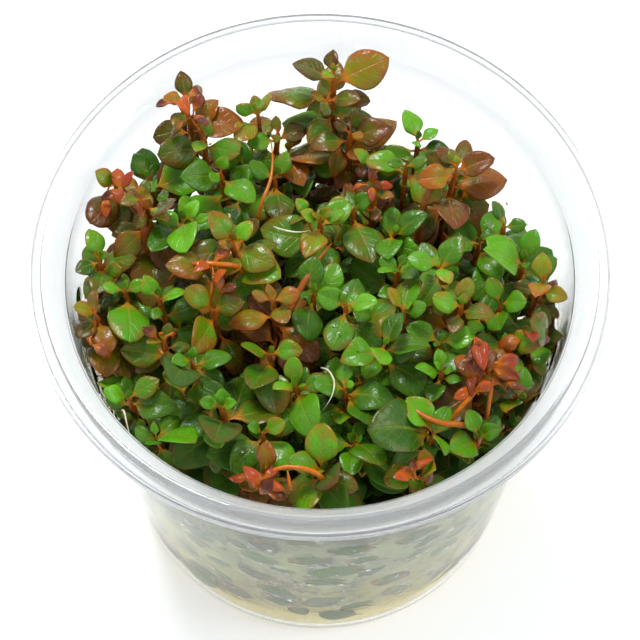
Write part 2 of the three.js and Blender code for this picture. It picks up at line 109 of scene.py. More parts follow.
# Each plant is a list of shoots, the first rooted in the jelly and the others branching from it.
# A shoot is its tip, its redness from 0 to 1, and its leaves from the top down, two at a joint, as
# (bearing, length): degrees counter-clockwise from +X, and the blade's length.
PLANTS = (
    (((2.5, 35, 90), 0.6, (
        (95, 3.6), (225, 3), (157, 6.8), (20, 9.2), (350, 5.6), (165, 10.4), (236, 6.4), (300, 6.6),
    )),),
    (((5.3, 28, 82), 0.8, ((150, 2.6), (320, 2.6), (192, 6), (8, 6.8), (40, 9.4), (178, 9.4))),),
    (((-11, 32, 82), 0.6, ((175, 3.4), (32, 4.2), (215, 5.4), (100, 4))),
     ((-7.4, 29, 80), 0.7, ((100, 2.6), (262, 2.8), (165, 4.4), (20, 4.6), (332, 7.6))),),
    (((-23.6, 31.6, 87), 0.85, ((115, 4.4), (172, 3.4), (70, 4.2), (245, 4.2), (345, 8.4), (35, 5.6))),
     ((-20.3, 26.6, 82), 0.4, ((250, 3.8), (80, 3.4), (203, 8), (328, 7.6), (165, 7), (282, 5.6))),),
    (((-35.6, 17, 83), 0.7, ((172, 4.2), (300, 2.6), (228, 8), (285, 4.8), (75, 4.6))),),
    (((-30.2, 20.6, 78), 0.25, ((125, 4.6), (290, 3.6), (105, 6.4), (20, 9.6))),),
    (((-17.4, 20, 82), 0.25, ((60, 3), (240, 3.2), (198, 7.8), (318, 6.8), (232, 9), (35, 6.6))),),
    (((9.4, 22.2, 80), 0.35, ((150, 4), (342, 4.6), (20, 6.6), (262, 4.8))),),
    (((17.3, 27.3, 80), 0.3, ((112, 5.2), (28, 3.4), (200, 5.2), (342, 5.4), (185, 7.4))),),
    (((23.6, 17.5, 88), 0.8, (
        (290, 2.8), (110, 2.8), (17, 6.4), (195, 5.8), (6, 8.4), (116, 7.4), (310, 8.4), (208, 9.6),
    )),),
    (((15, 20, 84), 0.45, ((180, 2.8), (0, 3.6), (160, 6.2), (315, 7.4))),),
    (((0, 10, 83), 0.5, ((180, 3.6), (5, 4), (38, 5.8), (250, 6.4), (172, 9.2), (285, 6))),),
    (((9.7, 15.2, 82), 0.9, ((175, 2.8), (350, 2.8), (270, 3.2), (130, 4.2), (310, 6))),),
    (((-30.3, 11.2, 88), 0.75, (
        (200, 3.6), (80, 2.8), (325, 4.2), (250, 3.2), (352, 7.6), (120, 6), (240, 9.4), (268, 11.6),
    )),),
    (((-15, 4, 86), 0.6, ((140, 6), (35, 4.2), (330, 7.2), (195, 7), (20, 6.6), (322, 9.4))),
     ((-18.4, 0.4, 82), 0.8, ((185, 7.6), (10, 5.2), (265, 6.4))),),
    (((-27.4, -4.8, 82), 0.2, ((130, 4), (0, 4.4), (60, 3.2), (250, 3), (20, 6))),),
    (((-26.4, -13, 82), 0.6, ((200, 2.8), (70, 2.8), (350, 3.4), (280, 3.6), (150, 6), (180, 7.4))),),
    (((-21.6, -17, 83), 0.3, ((100, 2.6), (200, 3.6), (8, 5.8), (325, 5.4), (292, 7.2))),),
    (((4.4, -8.4, 87), 0.3, ((175, 5.2), (352, 5), (60, 3), (252, 7), (322, 6.6), (74, 7), (352, 9.4))),),
    (((-8, -6.6, 85), 0.85, (
        (165, 3.2), (5, 4.2), (100, 2.8), (300, 4.6), (188, 6.8), (22, 5.6), (282, 9.2),
    )),),
    (((20.4, -1.2, 87), 0.3, ((170, 5), (285, 4.4), (55, 6.4), (246, 6.8), (108, 6.6), (335, 5.4))),),
    (((13.4, 0.2, 83), 0.15, ((212, 4.2), (320, 4), (130, 3.8), (40, 4.2), (100, 5))),),
    (((24, -8.2, 86), 0.6, ((78, 4.6), (165, 5), (252, 4), (340, 5.4))),),
    (((14.2, -8.8, 85), 0.55, ((128, 4.2), (355, 4), (75, 6.8), (215, 5))),),
    (((10.6, -15.4, 85), 0.25, ((60, 5.6), (262, 5.2), (15, 7), (196, 6.4), (322, 8.2), (130, 5))),),
    (((35, 2, 82), 0.25, ((185, 8), (70, 5.4), (132, 7.4), (305, 4.4))),
     ((31.6, 8.8, 83), 0.2, ((115, 4), (350, 3.4), (180, 3))),),
    (((38, -3, 84), 0.7, ((95, 4.6), (250, 5.4), (175, 4), (340, 4), (12, 4.4))),),
    (((38.4, -10.4, 79), 0.55, ((100, 4.2), (210, 8), (290, 5), (160, 4.6))),),
    (((28.2, -20, 84), 0.95, (
        (95, 4.2), (165, 4.6), (60, 5), (130, 5.4), (15, 5.4), (214, 10.2), (270, 4.4),
    )),),
    (((20.6, -18.8, 82), 0.1, ((185, 4.8), (100, 3.4), (350, 3), (250, 4.4))),
     ((20.4, -12.6, 81), 0.2, ((172, 5.4), (8, 5.4), (285, 5), (340, 6))),),
    (((-16.4, -26, 84), 0.35, (
        (175, 3.4), (355, 3), (118, 5), (78, 4.4), (200, 6.8), (2, 9.4), (308, 6.4), (222, 7),
    )),),
    (((-32.4, -21.6, 78), 0.4, ((20, 5.6), (180, 4.4), (345, 7.4), (100, 4), (318, 8), (255, 4.8))),),
    (((-38.2, -7.8, 82), 0.75, ((182, 4), (100, 3.6), (220, 4.6), (290, 5.4), (262, 8), (300, 8.6))),),
    (((-33.6, -2.4, 80), 0.3, ((175, 3.4), (20, 3.4), (262, 9.4), (100, 3.6))),),
    (((-38.2, 3.4, 80), 0.5, ((105, 5), (215, 4), (265, 5.6), (330, 4.4))),),
    (((-23.8, 9.4, 83), 0.15, ((275, 7.6), (50, 4), (228, 7.6), (150, 4.4))),),
    (((-8.6, -14.4, 80), 0.45, ((182, 5.4), (0, 5), (246, 7.6), (290, 8.2))),),
    (((-3.8, -20.8, 81), 0.35, ((100, 4.4), (200, 4.4), (286, 8.8), (20, 5.2), (240, 6))),),
    (((4.2, -21.4, 81), 0.3, ((92, 4.4), (170, 5), (340, 8), (300, 9), (215, 6))),),
    (((0.4, -35.4, 79), 0.5, ((88, 7.4), (160, 5.6), (240, 7), (335, 5.4), (285, 5.8))),
     ((-9.4, -35.8, 79), 0.9, ((150, 2.8), (85, 4.6), (305, 5.4), (205, 4.6))),),
    (((19, -29.4, 81), 0.35, ((130, 6.4), (290, 4.6), (178, 12), (60, 5))),),
    (((17.2, -35.4, 78), 0.6, ((95, 3.8), (330, 4.4), (185, 5.4), (250, 4.4))),),
    (((26.8, -29.2, 79), 0.2, ((345, 4.4), (120, 4.4), (215, 6.4), (50, 4.6))),),
    (((33.4, -21.8, 79), 0.35, ((170, 4.2), (85, 4.4), (245, 5.4), (320, 4))),),
    (((5.8, 13.6, 80), 0.4, ((20, 4), (160, 3.6), (288, 9.6), (95, 4.6))),),
    (((-8, 21.6, 77), 0.4, ((60, 4.4), (165, 4.8), (278, 7.4), (228, 6.6))),),
    (((-27.6, -28.2, 76), 0.3, ((318, 9), (20, 4.4), (150, 4), (250, 5))),),
    (((-1.2, -3.4, 81), 0.1, ((90, 5.6), (330, 4.4), (262, 7.8), (52, 6.6), (160, 5))),),
    (((-2.6, 27.4, 72), 0.15, ((180, 5.6), (350, 5.8), (80, 5), (270, 6.4))),),
    (((-13.6, 25.6, 73), 0.2, ((0, 6), (185, 6.2), (300, 6.6), (100, 5.6))),),
    (((24.4, 22.6, 74), 0.2, ((320, 7), (140, 6.6), (50, 6), (225, 6.4))),),
    (((27.8, 8, 78), 0.15, ((60, 6), (200, 6), (300, 6.4), (130, 5.4))),),
    (((12.6, 9, 79), 0.15, ((260, 6.4), (20, 6.6), (172, 5), (85, 5.4))),),
    (((-18.4, -7, 82), 0.6, ((152, 5.6), (0, 5.4), (250, 8.4), (60, 4))),),
    (((-9.6, -29, 80), 0.2, ((170, 2.8), (20, 3.8), (298, 6.6), (230, 6.8))),),
    (((6, -29.4, 77), 0.2, ((82, 4), (318, 7.6), (260, 5.4), (175, 5.4))),),
    (((31, -5.4, 81), 0.35, ((120, 4.4), (340, 5), (270, 5.4))),
     ((32, -13, 80), 0.4, ((172, 5.6), (355, 5.2), (285, 5.6), (80, 4.4))),),
)


def make_random(seed):
    """Repeatable pseudo-random numbers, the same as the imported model's."""
    state = seed
    while True:
        state = (state * 16807) % 2147483647
        yield state / 2147483647


# The wall's outer and inner radius at a height
shoulder_height = RIM_HEIGHT - SHOULDER_DROP
wall_slope = (WALL_TOP_RADIUS - BASE_RADIUS) / (shoulder_height - BASE_FILLET)


def inner_radius(z):
    return BASE_RADIUS + wall_slope * (np.minimum(z, shoulder_height) - BASE_FILLET) - WALL_THICKNESS


def bowed(start, middle, end, t):
    """Points of a curve that leaves start towards middle and reaches end."""
    return (1 - t) ** 2 * start + 2 * t * (1 - t) * middle + t**2 * end


# A leaf wanted at a joint: its stem's number, its place, and the joint's number from the top
Wish = collections.namedtuple("Wish", "stem node bearing blade lift joint")


class Stem:
    """A gentle arc from foot to tip whose height grows evenly along it."""

    def __init__(self, foot, tip, random, red):
        shift_x = BOW * (2 * next(random) - 1)
        shift_y = BOW * (2 * next(random) - 1)
        self.foot = np.array(foot, float)
        self.tip = np.array(tip, float)
        self.knee = (self.foot + self.tip) / 2 + [shift_x, shift_y, 0]
        self.red = red

    def point(self, z):
        return bowed(self.foot, self.knee, self.tip, (z - self.foot[2]) / (self.tip[2] - self.foot[2]))


def root_foot(tip):
    """The foot of a plant stands on the jelly, nearer the middle than its tip."""
    spread = min(FOOT_SPREAD, FOOT_LIMIT / math.hypot(tip[0], tip[1]))
    return [tip[0] * spread, tip[1] * spread, GEL_TOP + GAP]


class Leaf:
    """A leaf's size and its own axes: along points from the stem to the tip, up is its upper face."""

    def __init__(self, wish, turn=0.0, tilt=0.0, scale=1.0):
        bearing = math.radians(wish.bearing + turn)
        lift = math.radians(wish.lift + tilt)
        self.stem = wish.stem
        self.node = wish.node
        self.joint = wish.joint
        self.blade = wish.blade * scale
        self.stalk = STALK_LENGTH + STALK_SHARE * self.blade
        self.reach = self.stalk + self.blade
        self.half_width = BLADE_WIDTH_SHARE * self.blade / 2
        cos_b, sin_b = math.cos(bearing), math.sin(bearing)
        cos_l, sin_l = math.cos(lift), math.sin(lift)
        self.along = np.array([cos_l * cos_b, cos_l * sin_b, sin_l])
        self.across = np.array([-sin_b, cos_b, 0.0])
        self.up = np.array([-sin_l * cos_b, -sin_l * sin_b, cos_l])
        self.middle = self.node + self.reach / 2 * self.along
        self.radius = math.hypot(self.reach / 2, self.half_width) + EDGE_CLEARANCE + LEAF_CLEARANCE
        lengths = np.repeat(SAMPLE_LENGTHS, len(SAMPLE_WIDTHS)) * self.reach
        widths = np.tile(SAMPLE_WIDTHS, len(SAMPLE_LENGTHS))
        widths = widths * half_width_at(lengths, self.stalk, self.blade, self.half_width)
        self.samples = self.node + lengths[:, None] * self.along + widths[:, None] * self.across


def half_width_at(u, stalk, blade, half_width):
    """Half a leaf's width at a distance from the stem."""
    lower = stalk + SHOULDERS[0] * blade
    upper = stalk + SHOULDERS[1] * blade
    low_width = SHOULDER_WIDTHS[0] * half_width
    high_width = SHOULDER_WIDTHS[1] * half_width
    middle = low_width + (high_width - low_width) * (u - lower) / (upper - lower)
    tip = high_width * (stalk + blade - u) / (stalk + blade - upper)
    return np.where(u < lower, low_width * u / lower, np.where(u < upper, middle, tip))


def inside_leaf(offset, along, across, up, stalk, blade, half_width):
    """Whether points, given from the leaf's joint, are in the room that it keeps to itself."""
    u = (offset * along).sum(-1)
    v = np.abs((offset * across).sum(-1))
    w = np.abs((offset * up).sum(-1))
    width = half_width_at(np.minimum(u, stalk + blade), stalk, blade, half_width)
    near = (u >= 0) & (u <= stalk + blade + EDGE_CLEARANCE)
    return near & (w <= LEAF_CLEARANCE) & (v < width + EDGE_CLEARANCE)


# Ways to turn, tilt and shrink a leaf that has no room as it stands, the mildest first
TURNS = (
    (0, 0), (0, 12), (0, -12), (12, 0), (-12, 0), (14, 14), (-14, 14), (14, -14), (-14, -14),
    (0, 26), (0, -24), (26, 6), (-26, 6), (26, -14), (-26, -14), (0, 42), (22, 34), (-22, 34),
)
MOVES = [(turn, tilt, scale) for scale in (1.0, 0.88, 0.75, 0.6) for turn, tilt in TURNS]
FULL_SIZE = MOVES[: len(TURNS)]
NEARLY_FULL_SIZE = MOVES[: 2 * len(TURNS)]
MILDEST = MOVES[:9]


class Bed:
    """The leaves that have their place, kept as arrays so that a new one is tested against all."""

    ROOM = 2400

    def __init__(self, stems):
        self.stems = stems
        self.foot = np.array([s.foot for s in stems])
        self.knee = np.array([s.knee for s in stems])
        self.tip = np.array([s.tip for s in stems])
        self.leaves = []
        self.vectors = np.zeros((4, self.ROOM, 3))
        self.sizes = np.zeros((3, self.ROOM))
        self.middle = np.zeros((self.ROOM, 3))
        self.radius = np.zeros(self.ROOM)
        self.owner = np.zeros(self.ROOM, int)
        self.samples = np.zeros((self.ROOM, len(SAMPLE_LENGTHS) * len(SAMPLE_WIDTHS), 3))

    def touches_cup(self, points):
        out = np.hypot(points[:, 0], points[:, 1]) > inner_radius(points[:, 2]) - WALL_CLEARANCE
        return bool((out | (points[:, 2] < GEL_TOP + WALL_CLEARANCE)).any())

    def touches_stem(self, leaf, own):
        z = np.clip(leaf.samples[:, None, 2], self.foot[:, 2], self.tip[:, 2])
        t = ((z - self.foot[:, 2]) / (self.tip[:, 2] - self.foot[:, 2]))[..., None]
        curve = bowed(self.foot, self.knee, self.tip, t)
        close = np.linalg.norm(leaf.samples[:, None] - curve, axis=-1) < STEM_CLEARANCE
        close[:, own] = False
        return bool(close.any())

    def touches_leaf(self, leaf, own):
        """Leaves of one stem may meet where they leave it, in their first two rows of samples."""
        n = len(self.leaves)
        if not n:
            return False
        offset = self.middle[:n] - leaf.middle
        near = np.flatnonzero((offset * offset).sum(1) <= (self.radius[:n] + leaf.radius) ** 2)
        if not len(near):
            return False
        same = self.owner[near] == own
        skipped = np.arange(leaf.samples.shape[0]) < 2 * len(SAMPLE_WIDTHS)
        node, along, across, up = self.vectors[:, near]
        stalk, blade, half_width = self.sizes[:, near]
        hit = inside_leaf(leaf.samples[:, None] - node, along, across, up, stalk, blade, half_width)
        hit[np.ix_(skipped, same)] = False
        if hit.any():
            return True
        offset = self.samples[near] - leaf.node
        hit = inside_leaf(offset, leaf.along, leaf.across, leaf.up, leaf.stalk, leaf.blade, leaf.half_width)
        hit[np.ix_(same, skipped)] = False
        return bool(hit.any())

    def drop(self, leaves):
        """Takes back the leaves that were settled last."""
        for _ in leaves:
            self.leaves.pop()

    def settle(self, wish, moves):
        """Adds the leaf in the first of those ways that touches nothing, or leaves it out."""
        own = wish.stem
        for move in moves:
            leaf = Leaf(wish, *move)
            if self.touches_cup(leaf.samples) or self.touches_stem(leaf, own):
                continue
            if self.touches_leaf(leaf, own):
                continue
            n = len(self.leaves)
            self.vectors[:, n] = leaf.node, leaf.along, leaf.across, leaf.up
            self.sizes[:, n] = leaf.stalk, leaf.blade, leaf.half_width
            self.middle[n] = leaf.middle
            self.radius[n] = leaf.radius
            self.owner[n] = own
            self.samples[n] = leaf.samples
            self.leaves.append(leaf)
            return leaf
        return None


def grow_solid_leaves():
    """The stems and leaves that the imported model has."""
    random = make_random(SEED)
    stems, plant_stems, wishes = [], [], []
    for shoots in PLANTS:
        own = []
        for tip, red, leaves in shoots:
            foot = root_foot(tip)
            if own:
                main = stems[own[0]]
                foot = main.point(FORK_SHARE * main.tip[2])
            own.append(len(stems))
            stems.append(Stem(foot, tip, random, red))
        plant_stems.append(own)
    for own, shoots in zip(plant_stems, PLANTS):
        for index, (tip, red, leaves) in zip(own, shoots):
            stem = stems[index]
            for i, (bearing, blade) in enumerate(leaves):
                joint = i // 2
                node = stem.point(tip[2] - NODE_DROPS[joint])
                wishes.append(Wish(index, node, bearing, blade, NODE_LIFTS[joint], joint))
    return stems, plant_stems, wishes


# Leaves too small or too low on the stem for the solids
TIP_BUD_BLADE = 1.9
TIP_BUD_DROP = 0.3
LOWER_DROPS = (10.2, 16.5, 22.0, 29.0, 37.0, 46.0, 55.0)
LOWER_LIFT = 2.0
LOWEST_LEAF = GEL_TOP + 8
LOWEST_SIDE_SHOOT = GEL_TOP + 10
SIDE_SHOOT_DROPS = (9.0, 14.5, 21.0, 28.0)
SIDE_SHOOT_SHARE = 0.62
TWIG_LENGTHS = (2.0, 5.5)
WALL_LEAF_HEIGHTS = (21.0, 25.0, 29.5, 34.5, 40.0, 46.0, 52.0, 58.0, 64.0, 69.0, 73.0, 77.0)
WALL_LEAF_REACH = 27.0
WALL_LEAF_BACK_TOP = 60.0
WALL_LEAF_BACK = 6.0
WALL_LEAF_BLADES = (4.0, 9.5)
WALL_LEAF_SIDES = (-38, 30)
OLDEST_JOINT = 4
TWIG_RADIUS = 0.3
STALK_SHARES = np.linspace(0, 1, 6)[:, None]
TWIG_ROOM = ((0.8, 0, 0), (-0.8, 0, 0), (0, 0.8, 0), (0, -0.8, 0))


def bud_wishes(stems, rng):
    """The smallest leaves, two pairs round the tip of each shoot."""
    wishes = []
    for index, stem in enumerate(stems):
        turn = rng.uniform(0, 180)
        for k in range(4):
            pair = k // 2
            blade = TIP_BUD_BLADE * rng.uniform(0.8, 1.3) * (1.0, 0.7)[pair]
            node = stem.point(stem.tip[2] - TIP_BUD_DROP)
            wishes.append(Wish(index, node, turn + 90 * pair + 180 * k, blade, 58 + 14 * pair, -1))
    return wishes


def lower_wishes(stems, rng):
    """Leaves on the lower joints, each pair square to the pair above."""
    wishes = []
    for index, stem in enumerate(stems):
        bearing = rng.uniform(0, 180)
        for k, drop in enumerate(LOWER_DROPS):
            z = stem.tip[2] - drop
            if z < LOWEST_LEAF:
                continue
            for side in (0, 180):
                heading = bearing + side + rng.uniform(-18, 18)
                blade = rng.uniform(5.4, 9.2)
                lift = LOWER_LIFT - 4 * k + rng.uniform(-12, 12)
                wishes.append(Wish(index, stem.point(z), heading, blade, lift, 3 + k))
            bearing += 90
    return wishes


def wall_wishes(stems, rng):
    """Low leaves of the outer plants, which reach out to the wall."""
    wishes = []
    for index, stem in enumerate(stems):
        if math.hypot(stem.tip[0], stem.tip[1]) < WALL_LEAF_REACH:
            continue
        for height in WALL_LEAF_HEIGHTS:
            for side in WALL_LEAF_SIDES:
                z = height + rng.uniform(-2, 2)
                if z > stem.tip[2] - 3 or z < stem.foot[2] + 2:
                    continue
                if height > WALL_LEAF_BACK_TOP and stem.tip[1] > WALL_LEAF_BACK:
                    continue
                node = stem.point(z)
                gap = float(inner_radius(z)) - math.hypot(node[0], node[1])
                blade = float(np.clip((gap - WALL_CLEARANCE) * rng.uniform(0.86, 1.12), *WALL_LEAF_BLADES))
                heading = math.degrees(math.atan2(node[1], node[0])) + side + rng.uniform(-20, 20)
                wishes.append(Wish(index, node, heading, blade, rng.uniform(-30, 45), OLDEST_JOINT))
    return wishes


def grow_twigs(bed, stems, rng):
    """Short side shoots in the joints, each with a rosette of small leaves, where these have room."""
    twigs = []
    for index, stem in enumerate(stems):
        bearing = rng.uniform(0, 360)
        for joint, drop in enumerate(SIDE_SHOOT_DROPS):
            for side in (0, 180):
                z = stem.tip[2] - drop
                if z < LOWEST_SIDE_SHOOT or rng.uniform() > SIDE_SHOOT_SHARE:
                    continue
                heading = math.radians(bearing + side + rng.uniform(-25, 25))
                rise = math.radians(rng.uniform(15, 65))
                length = rng.uniform(*TWIG_LENGTHS)
                root = stem.point(z)
                flat = math.cos(rise)
                reach = np.array([flat * math.cos(heading), flat * math.sin(heading), math.sin(rise)])
                end = root + length * reach
                if bed.touches_cup(end[None] + TWIG_ROOM):
                    continue
                spread = rng.uniform(0, 90)
                placed = []
                for k in range(5):
                    bearing_k = spread + 90 * k + rng.uniform(-12, 12)
                    blade, lift = (rng.uniform(2.8, 6.4), rng.uniform(-12, 50)) if k < 4 else (1.8, 70)
                    placed.append(bed.settle(Wish(index, end, bearing_k, blade, lift, joint), MILDEST))
                placed = [leaf for leaf in placed if leaf]
                if len(placed) > 1:
                    sag = root + length * 0.5 * reach + [0, 0, -0.12 * length]
                    twigs.append((index, root, sag, end))
                else:
                    bed.drop(placed)
            bearing += 90
    return twigs


# Leaves that lie flat on the inside of the wall, where they wipe the fog off
PRESSED_TRIES = 3000
PRESSED_LOW = 8.0
PRESSED_LOWEST = 5.6
PRESSED_OVER_JELLY = 0.22
PRESSED_WIPE = (0.65, 1.0)
PRESSED_HIGH = 73.0
PRESSED_BACK = 0.0
PRESSED_HIGH_BACK = 48.0
PRESSED_NEAR = 24.0
PRESSED_APART = 0.35
PRESSED_BLADES = (4.6, 10.5)
PRESSED_HEADING = (0.3, 0.7)
PRESSED_FACE_OUT = 0.6
PRESSED_INSET = 0.2
PRESSED_RELIEF = 0.1
PRESSED_DEPTHS = (-0.08, 0.14)
PRESSED_STEM_REACH = 18.0
PRESSED_GREENER = 0.36
PRESSED_STALK_RISE = 1.5
WET_STEPS = 8
WET_DEPTH = 0.3
WET_WIDTHS = (0.3, 0.7)
WET_SIDES = 7
WET_SHINE = 0.02
# How far the leaves lying on the wall are darkened, as painted shade
WET_PAINTED_SHADE = 0.3
WET_REACH = 0.45


class Spot:
    """A place on the inside of the wall for a leaf, which points along the wall.

    Face is 1 where the leaf's upper side is towards the wall and -1 where it is towards the plants.
    Wipe is the share of the fog that the leaf takes away.
    """

    def __init__(self, angle, z, heading, face):
        self.angle = angle
        self.z = z
        self.cos = math.cos(heading)
        self.sin = math.sin(heading)
        self.face = face
        self.wipe = 1.0

    def points(self, u, x, w):
        """Points of a leaf, u along it, x across it and w above it."""
        z = self.z + self.sin * u + self.cos * self.face * x
        radius = inner_radius(z) - PRESSED_INSET + np.clip(PRESSED_RELIEF * self.face * w, *PRESSED_DEPTHS)
        angle = self.angle + (self.cos * u - self.sin * self.face * x) / radius
        return np.stack([radius * np.cos(angle), radius * np.sin(angle), z], axis=-1)

    def within(self, angle, z):
        """The same two measures, u and x, of points on the wall."""
        turn = (angle - self.angle + np.pi) % (2 * np.pi) - np.pi
        a = turn * inner_radius(z)
        b = z - self.z
        return self.cos * a + self.sin * b, (self.cos * b - self.sin * a) * self.face


def pressed_outline(leaf, t):
    """About half a pressed leaf's width, t from 0 at the blade's foot to 1 at its tip."""
    return leaf.half_width * np.sin(np.pi * t**0.9) ** 0.66


def cover(leaf, spot, angle, z, margin):
    """How far inside a pressed leaf's outline points on the wall are: over 0 inside."""
    u, x = spot.within(angle, z)
    t = (u - leaf.stalk) / leaf.blade
    outline = pressed_outline(leaf, np.clip(t, 0, 1))
    return np.where((t > 0) & (t < 1), outline + margin - np.abs(x), -1.0)


def press_leaves(stems, rng):
    """Pairs of a leaf and its spot, apart from each other, each of the nearest stem."""
    pressed = []
    tips = np.array([s.tip[:2] for s in stems])
    for _ in range(PRESSED_TRIES):
        angle = rng.uniform(-math.pi, math.pi)
        z = PRESSED_LOW + (PRESSED_HIGH - PRESSED_LOW) * rng.uniform(0, 1) ** 1.05
        heading = rng.normal(*PRESSED_HEADING) + math.pi * rng.integers(0, 2)
        spot = Spot(angle, z, heading, 1 if rng.uniform() < PRESSED_FACE_OUT else -1)
        blade = rng.uniform(*PRESSED_BLADES)
        if z < GEL_TOP + 1 and rng.uniform() > PRESSED_OVER_JELLY:
            continue
        base = spot.points(*np.zeros((3, 1)))[0]
        index = int(np.argmin(np.hypot(*(tips - base[:2]).T)))
        stem = stems[index]
        if np.hypot(*(tips[index] - base[:2])) > PRESSED_STEM_REACH or z > stem.tip[2] - 4:
            continue
        leaf = Leaf(Wish(index, base, 0.0, blade, 0.0, OLDEST_JOINT))
        along = np.linspace(0, leaf.reach, 9)[:, None]
        across = np.linspace(-1, 1, 5)[None] * leaf.half_width * 0.9
        outline = spot.points(along, across, np.zeros((9, 5)))
        highest = PRESSED_HIGH + 3 if base[1] < PRESSED_BACK else PRESSED_HIGH_BACK
        if outline[..., 2].max() > highest or outline[..., 2].min() < PRESSED_LOWEST:
            continue
        bearings = np.arctan2(outline[..., 1], outline[..., 0])
        near = [pair for pair in pressed if np.abs(pair[0].node - base).max() < PRESSED_NEAR]
        if any((cover(*pair, bearings, outline[..., 2], PRESSED_APART) > 0).any() for pair in near):
            continue
        spot.wipe = rng.uniform(*PRESSED_WIPE)
        pressed.append((leaf, spot))
    return pressed


# Shoots whose leaves have curled up and gone orange-red: the middle, the number of leaves, their length
CURLED_SHOOTS = (
    ((27.9, -18, 83.8), 5, 4.6), ((26, -22, 82.8), 4, 4.2), ((30.6, -21.6, 82.6), 3, 4),
    ((-10.2, -38, 80), 3, 4), ((-9.2, -39.6, 79.4), 3, 4.2), ((16.3, -37.2, 79.4), 5, 3.2),
    ((-17.9, -0.1, 83.8), 3, 4.4), ((-17, -4.6, 82.6), 2, 3.8), ((-34.6, 14.6, 84.2), 4, 3.8),
    ((-37, 15.2, 83.4), 3, 2.8), ((-22.4, 28.2, 86), 3, 4.2), ((-25.4, 31.2, 87.6), 3, 4),
    ((9.1, 16.4, 82.4), 4, 3), ((-26.5, -13.2, 82.8), 3, 2.6), ((34.4, -13, 81.4), 3, 4.2),
    ((-38.6, -12.4, 80), 2, 4.2), ((37.5, -3.5, 80.5), 2, 4),
)
# Bare stems that cross the bed: radius, how brown (0 orange, 1 brown-red) and points along them
BARE_STEMS = (
    (0.55, 0.4, ((12.8, -22.4, 80), (14.4, -24.4, 82.2), (17.2, -27.2, 82.6), (20.4, -28.6, 82.6),
     (23, -28.2, 81.8), (25.4, -26.6, 77))),
    (0.5, 0, ((-10.6, -38.4, 78), (-9.4, -37, 80.2), (-6.4, -35.6, 81.2), (-3, -35.8, 81.2),
     (0.2, -36.8, 80.6), (1, -37.8, 77.6))),
    (0.34, 0, ((-5.4, -36, 81), (-5.2, -37.4, 80.6), (-4.8, -39, 79))),
    (0.75, 1, ((-34, 14.6, 85.4), (-31.6, 12, 86), (-30.2, 8.8, 84.6), (-30, 6.8, 80),
     (-28.8, 5.4, 66))),
    (0.75, 1, ((21.8, 18.6, 85.6), (19.4, 16.2, 84.8), (17.8, 13.2, 81), (17.2, 10.8, 75),
     (15.8, 9, 62))),
    (0.34, 0.1, ((-8.6, 26.6, 80.6), (-8.2, 22.4, 81.6), (-8.6, 18.2, 81.2), (-10.2, 14.6, 80.6),
     (-11, 12.6, 77))),
    (0.5, 0, ((-26.4, 0, 78), (-24.6, 0.2, 82.6), (-21.2, 0.6, 84.8), (-17.6, 0, 85.2),
     (-14, 0.6, 83.6), (-12.6, 0.8, 79))),
    (0.4, 0, ((-18.4, 0.2, 85), (-18, -2, 84.6), (-18.6, -4.4, 81.8), (-18.9, -5.4, 78))),
    (0.6, 0.7, ((2, 6, 81.4), (-0.8, 1.2, 83.2), (-3.4, -3, 82), (-5.6, -7, 79))),
    (0.4, 0, ((26.8, -17, 80), (27.8, -20.2, 85), (26, -23.2, 83.8), (22.8, -25.8, 81.6),
     (21.6, -26.8, 77))),
    (0.36, 0, ((29.4, -17.4, 81), (28.8, -21.2, 84.2), (28.3, -24.2, 81.8), (28, -25.6, 77))),
)
# Pale roots that stand out of the bed
FREE_ROOTS = (
    ((-15.8, 11.4, 82), (-15.4, 9.4, 85.2), (-16, 6.8, 86), (-17.2, 4.6, 84.6)),
    ((0.2, -17, 80), (1.4, -18.6, 82.8), (2.6, -21, 83), (2, -23.6, 82.4), (0.4, -25.2, 80.4)),
    ((-33.4, -23.6, 77.4), (-32.8, -25, 80), (-32.4, -27, 80), (-31.6, -29.6, 77.4)),
    ((-8, 8.6, 82.6), (-6.4, 7, 84.4), (-3.8, 6.6, 84.2), (-1.6, 8, 82.4)),
)
CURLED_STEM_DROP = 5.0
CURLED_STALK = 0.34
CURLED_SWINGS = (0, 50, -50, 100, -100, 150, -150, 180)


def nearest_stem(stems, point):
    """The number of the stem whose tip is nearest, seen from above."""
    return int(np.argmin([math.hypot(s.tip[0] - point[0], s.tip[1] - point[1]) for s in stems]))


def stalk_fields(red, brown, wilt=0.0, t=0.6):
    """The leaf material's values on a stalk: brown runs from 0, a leaf's stalk, to 1, a stem."""
    return (t, 0.0, 0.5, red, 1.0, 0.0, 0.0, brown, wilt)


def bend_through(points, steps):
    """A smooth line near the given points, from the first to the last."""
    line = np.array(points, float)
    for _ in range(steps):
        quarter = 0.75 * line[:-1] + 0.25 * line[1:]
        three = 0.25 * line[:-1] + 0.75 * line[1:]
        inner = np.stack([quarter, three], axis=1).reshape(-1, 3)[1:-1]
        line = np.concatenate([line[:1], inner, line[-1:]])
    return line


# Where a leaf's cross-section has its points, from one edge to the other
RIBS = np.array([-1.0, -0.94, -0.62, -0.26, 0.0, 0.26, 0.62, 0.94, 1.0])
SMALL_RIBS = np.array([-1.0, -0.9, -0.42, 0.0, 0.42, 0.9, 1.0])
UNDER_RIBS = np.array([0.7, 0.0, -0.7])
STALK_ROWS = 2
BLADE_ROWS = 12
SMALL_BLADE_ROWS = 8
SMALL_LEAF = 4.0
LEAF_THICKNESS = 0.2
STALK_THICKNESS = 0.42
STALK_HALF_WIDTH = 0.24
TIP_WIDTH = 0.02
LOOSE_ROLL = 16.0
LOOSE_NOD = 8.0
# The leaf material's values at each point, in the order in which add_leaf and stalk_fields give them
FIELDS = (
    "leaf_t", "leaf_v", "leaf_tint", "leaf_red", "leaf_stalk",
    "leaf_under", "leaf_dark", "leaf_stem", "leaf_wilt",
)


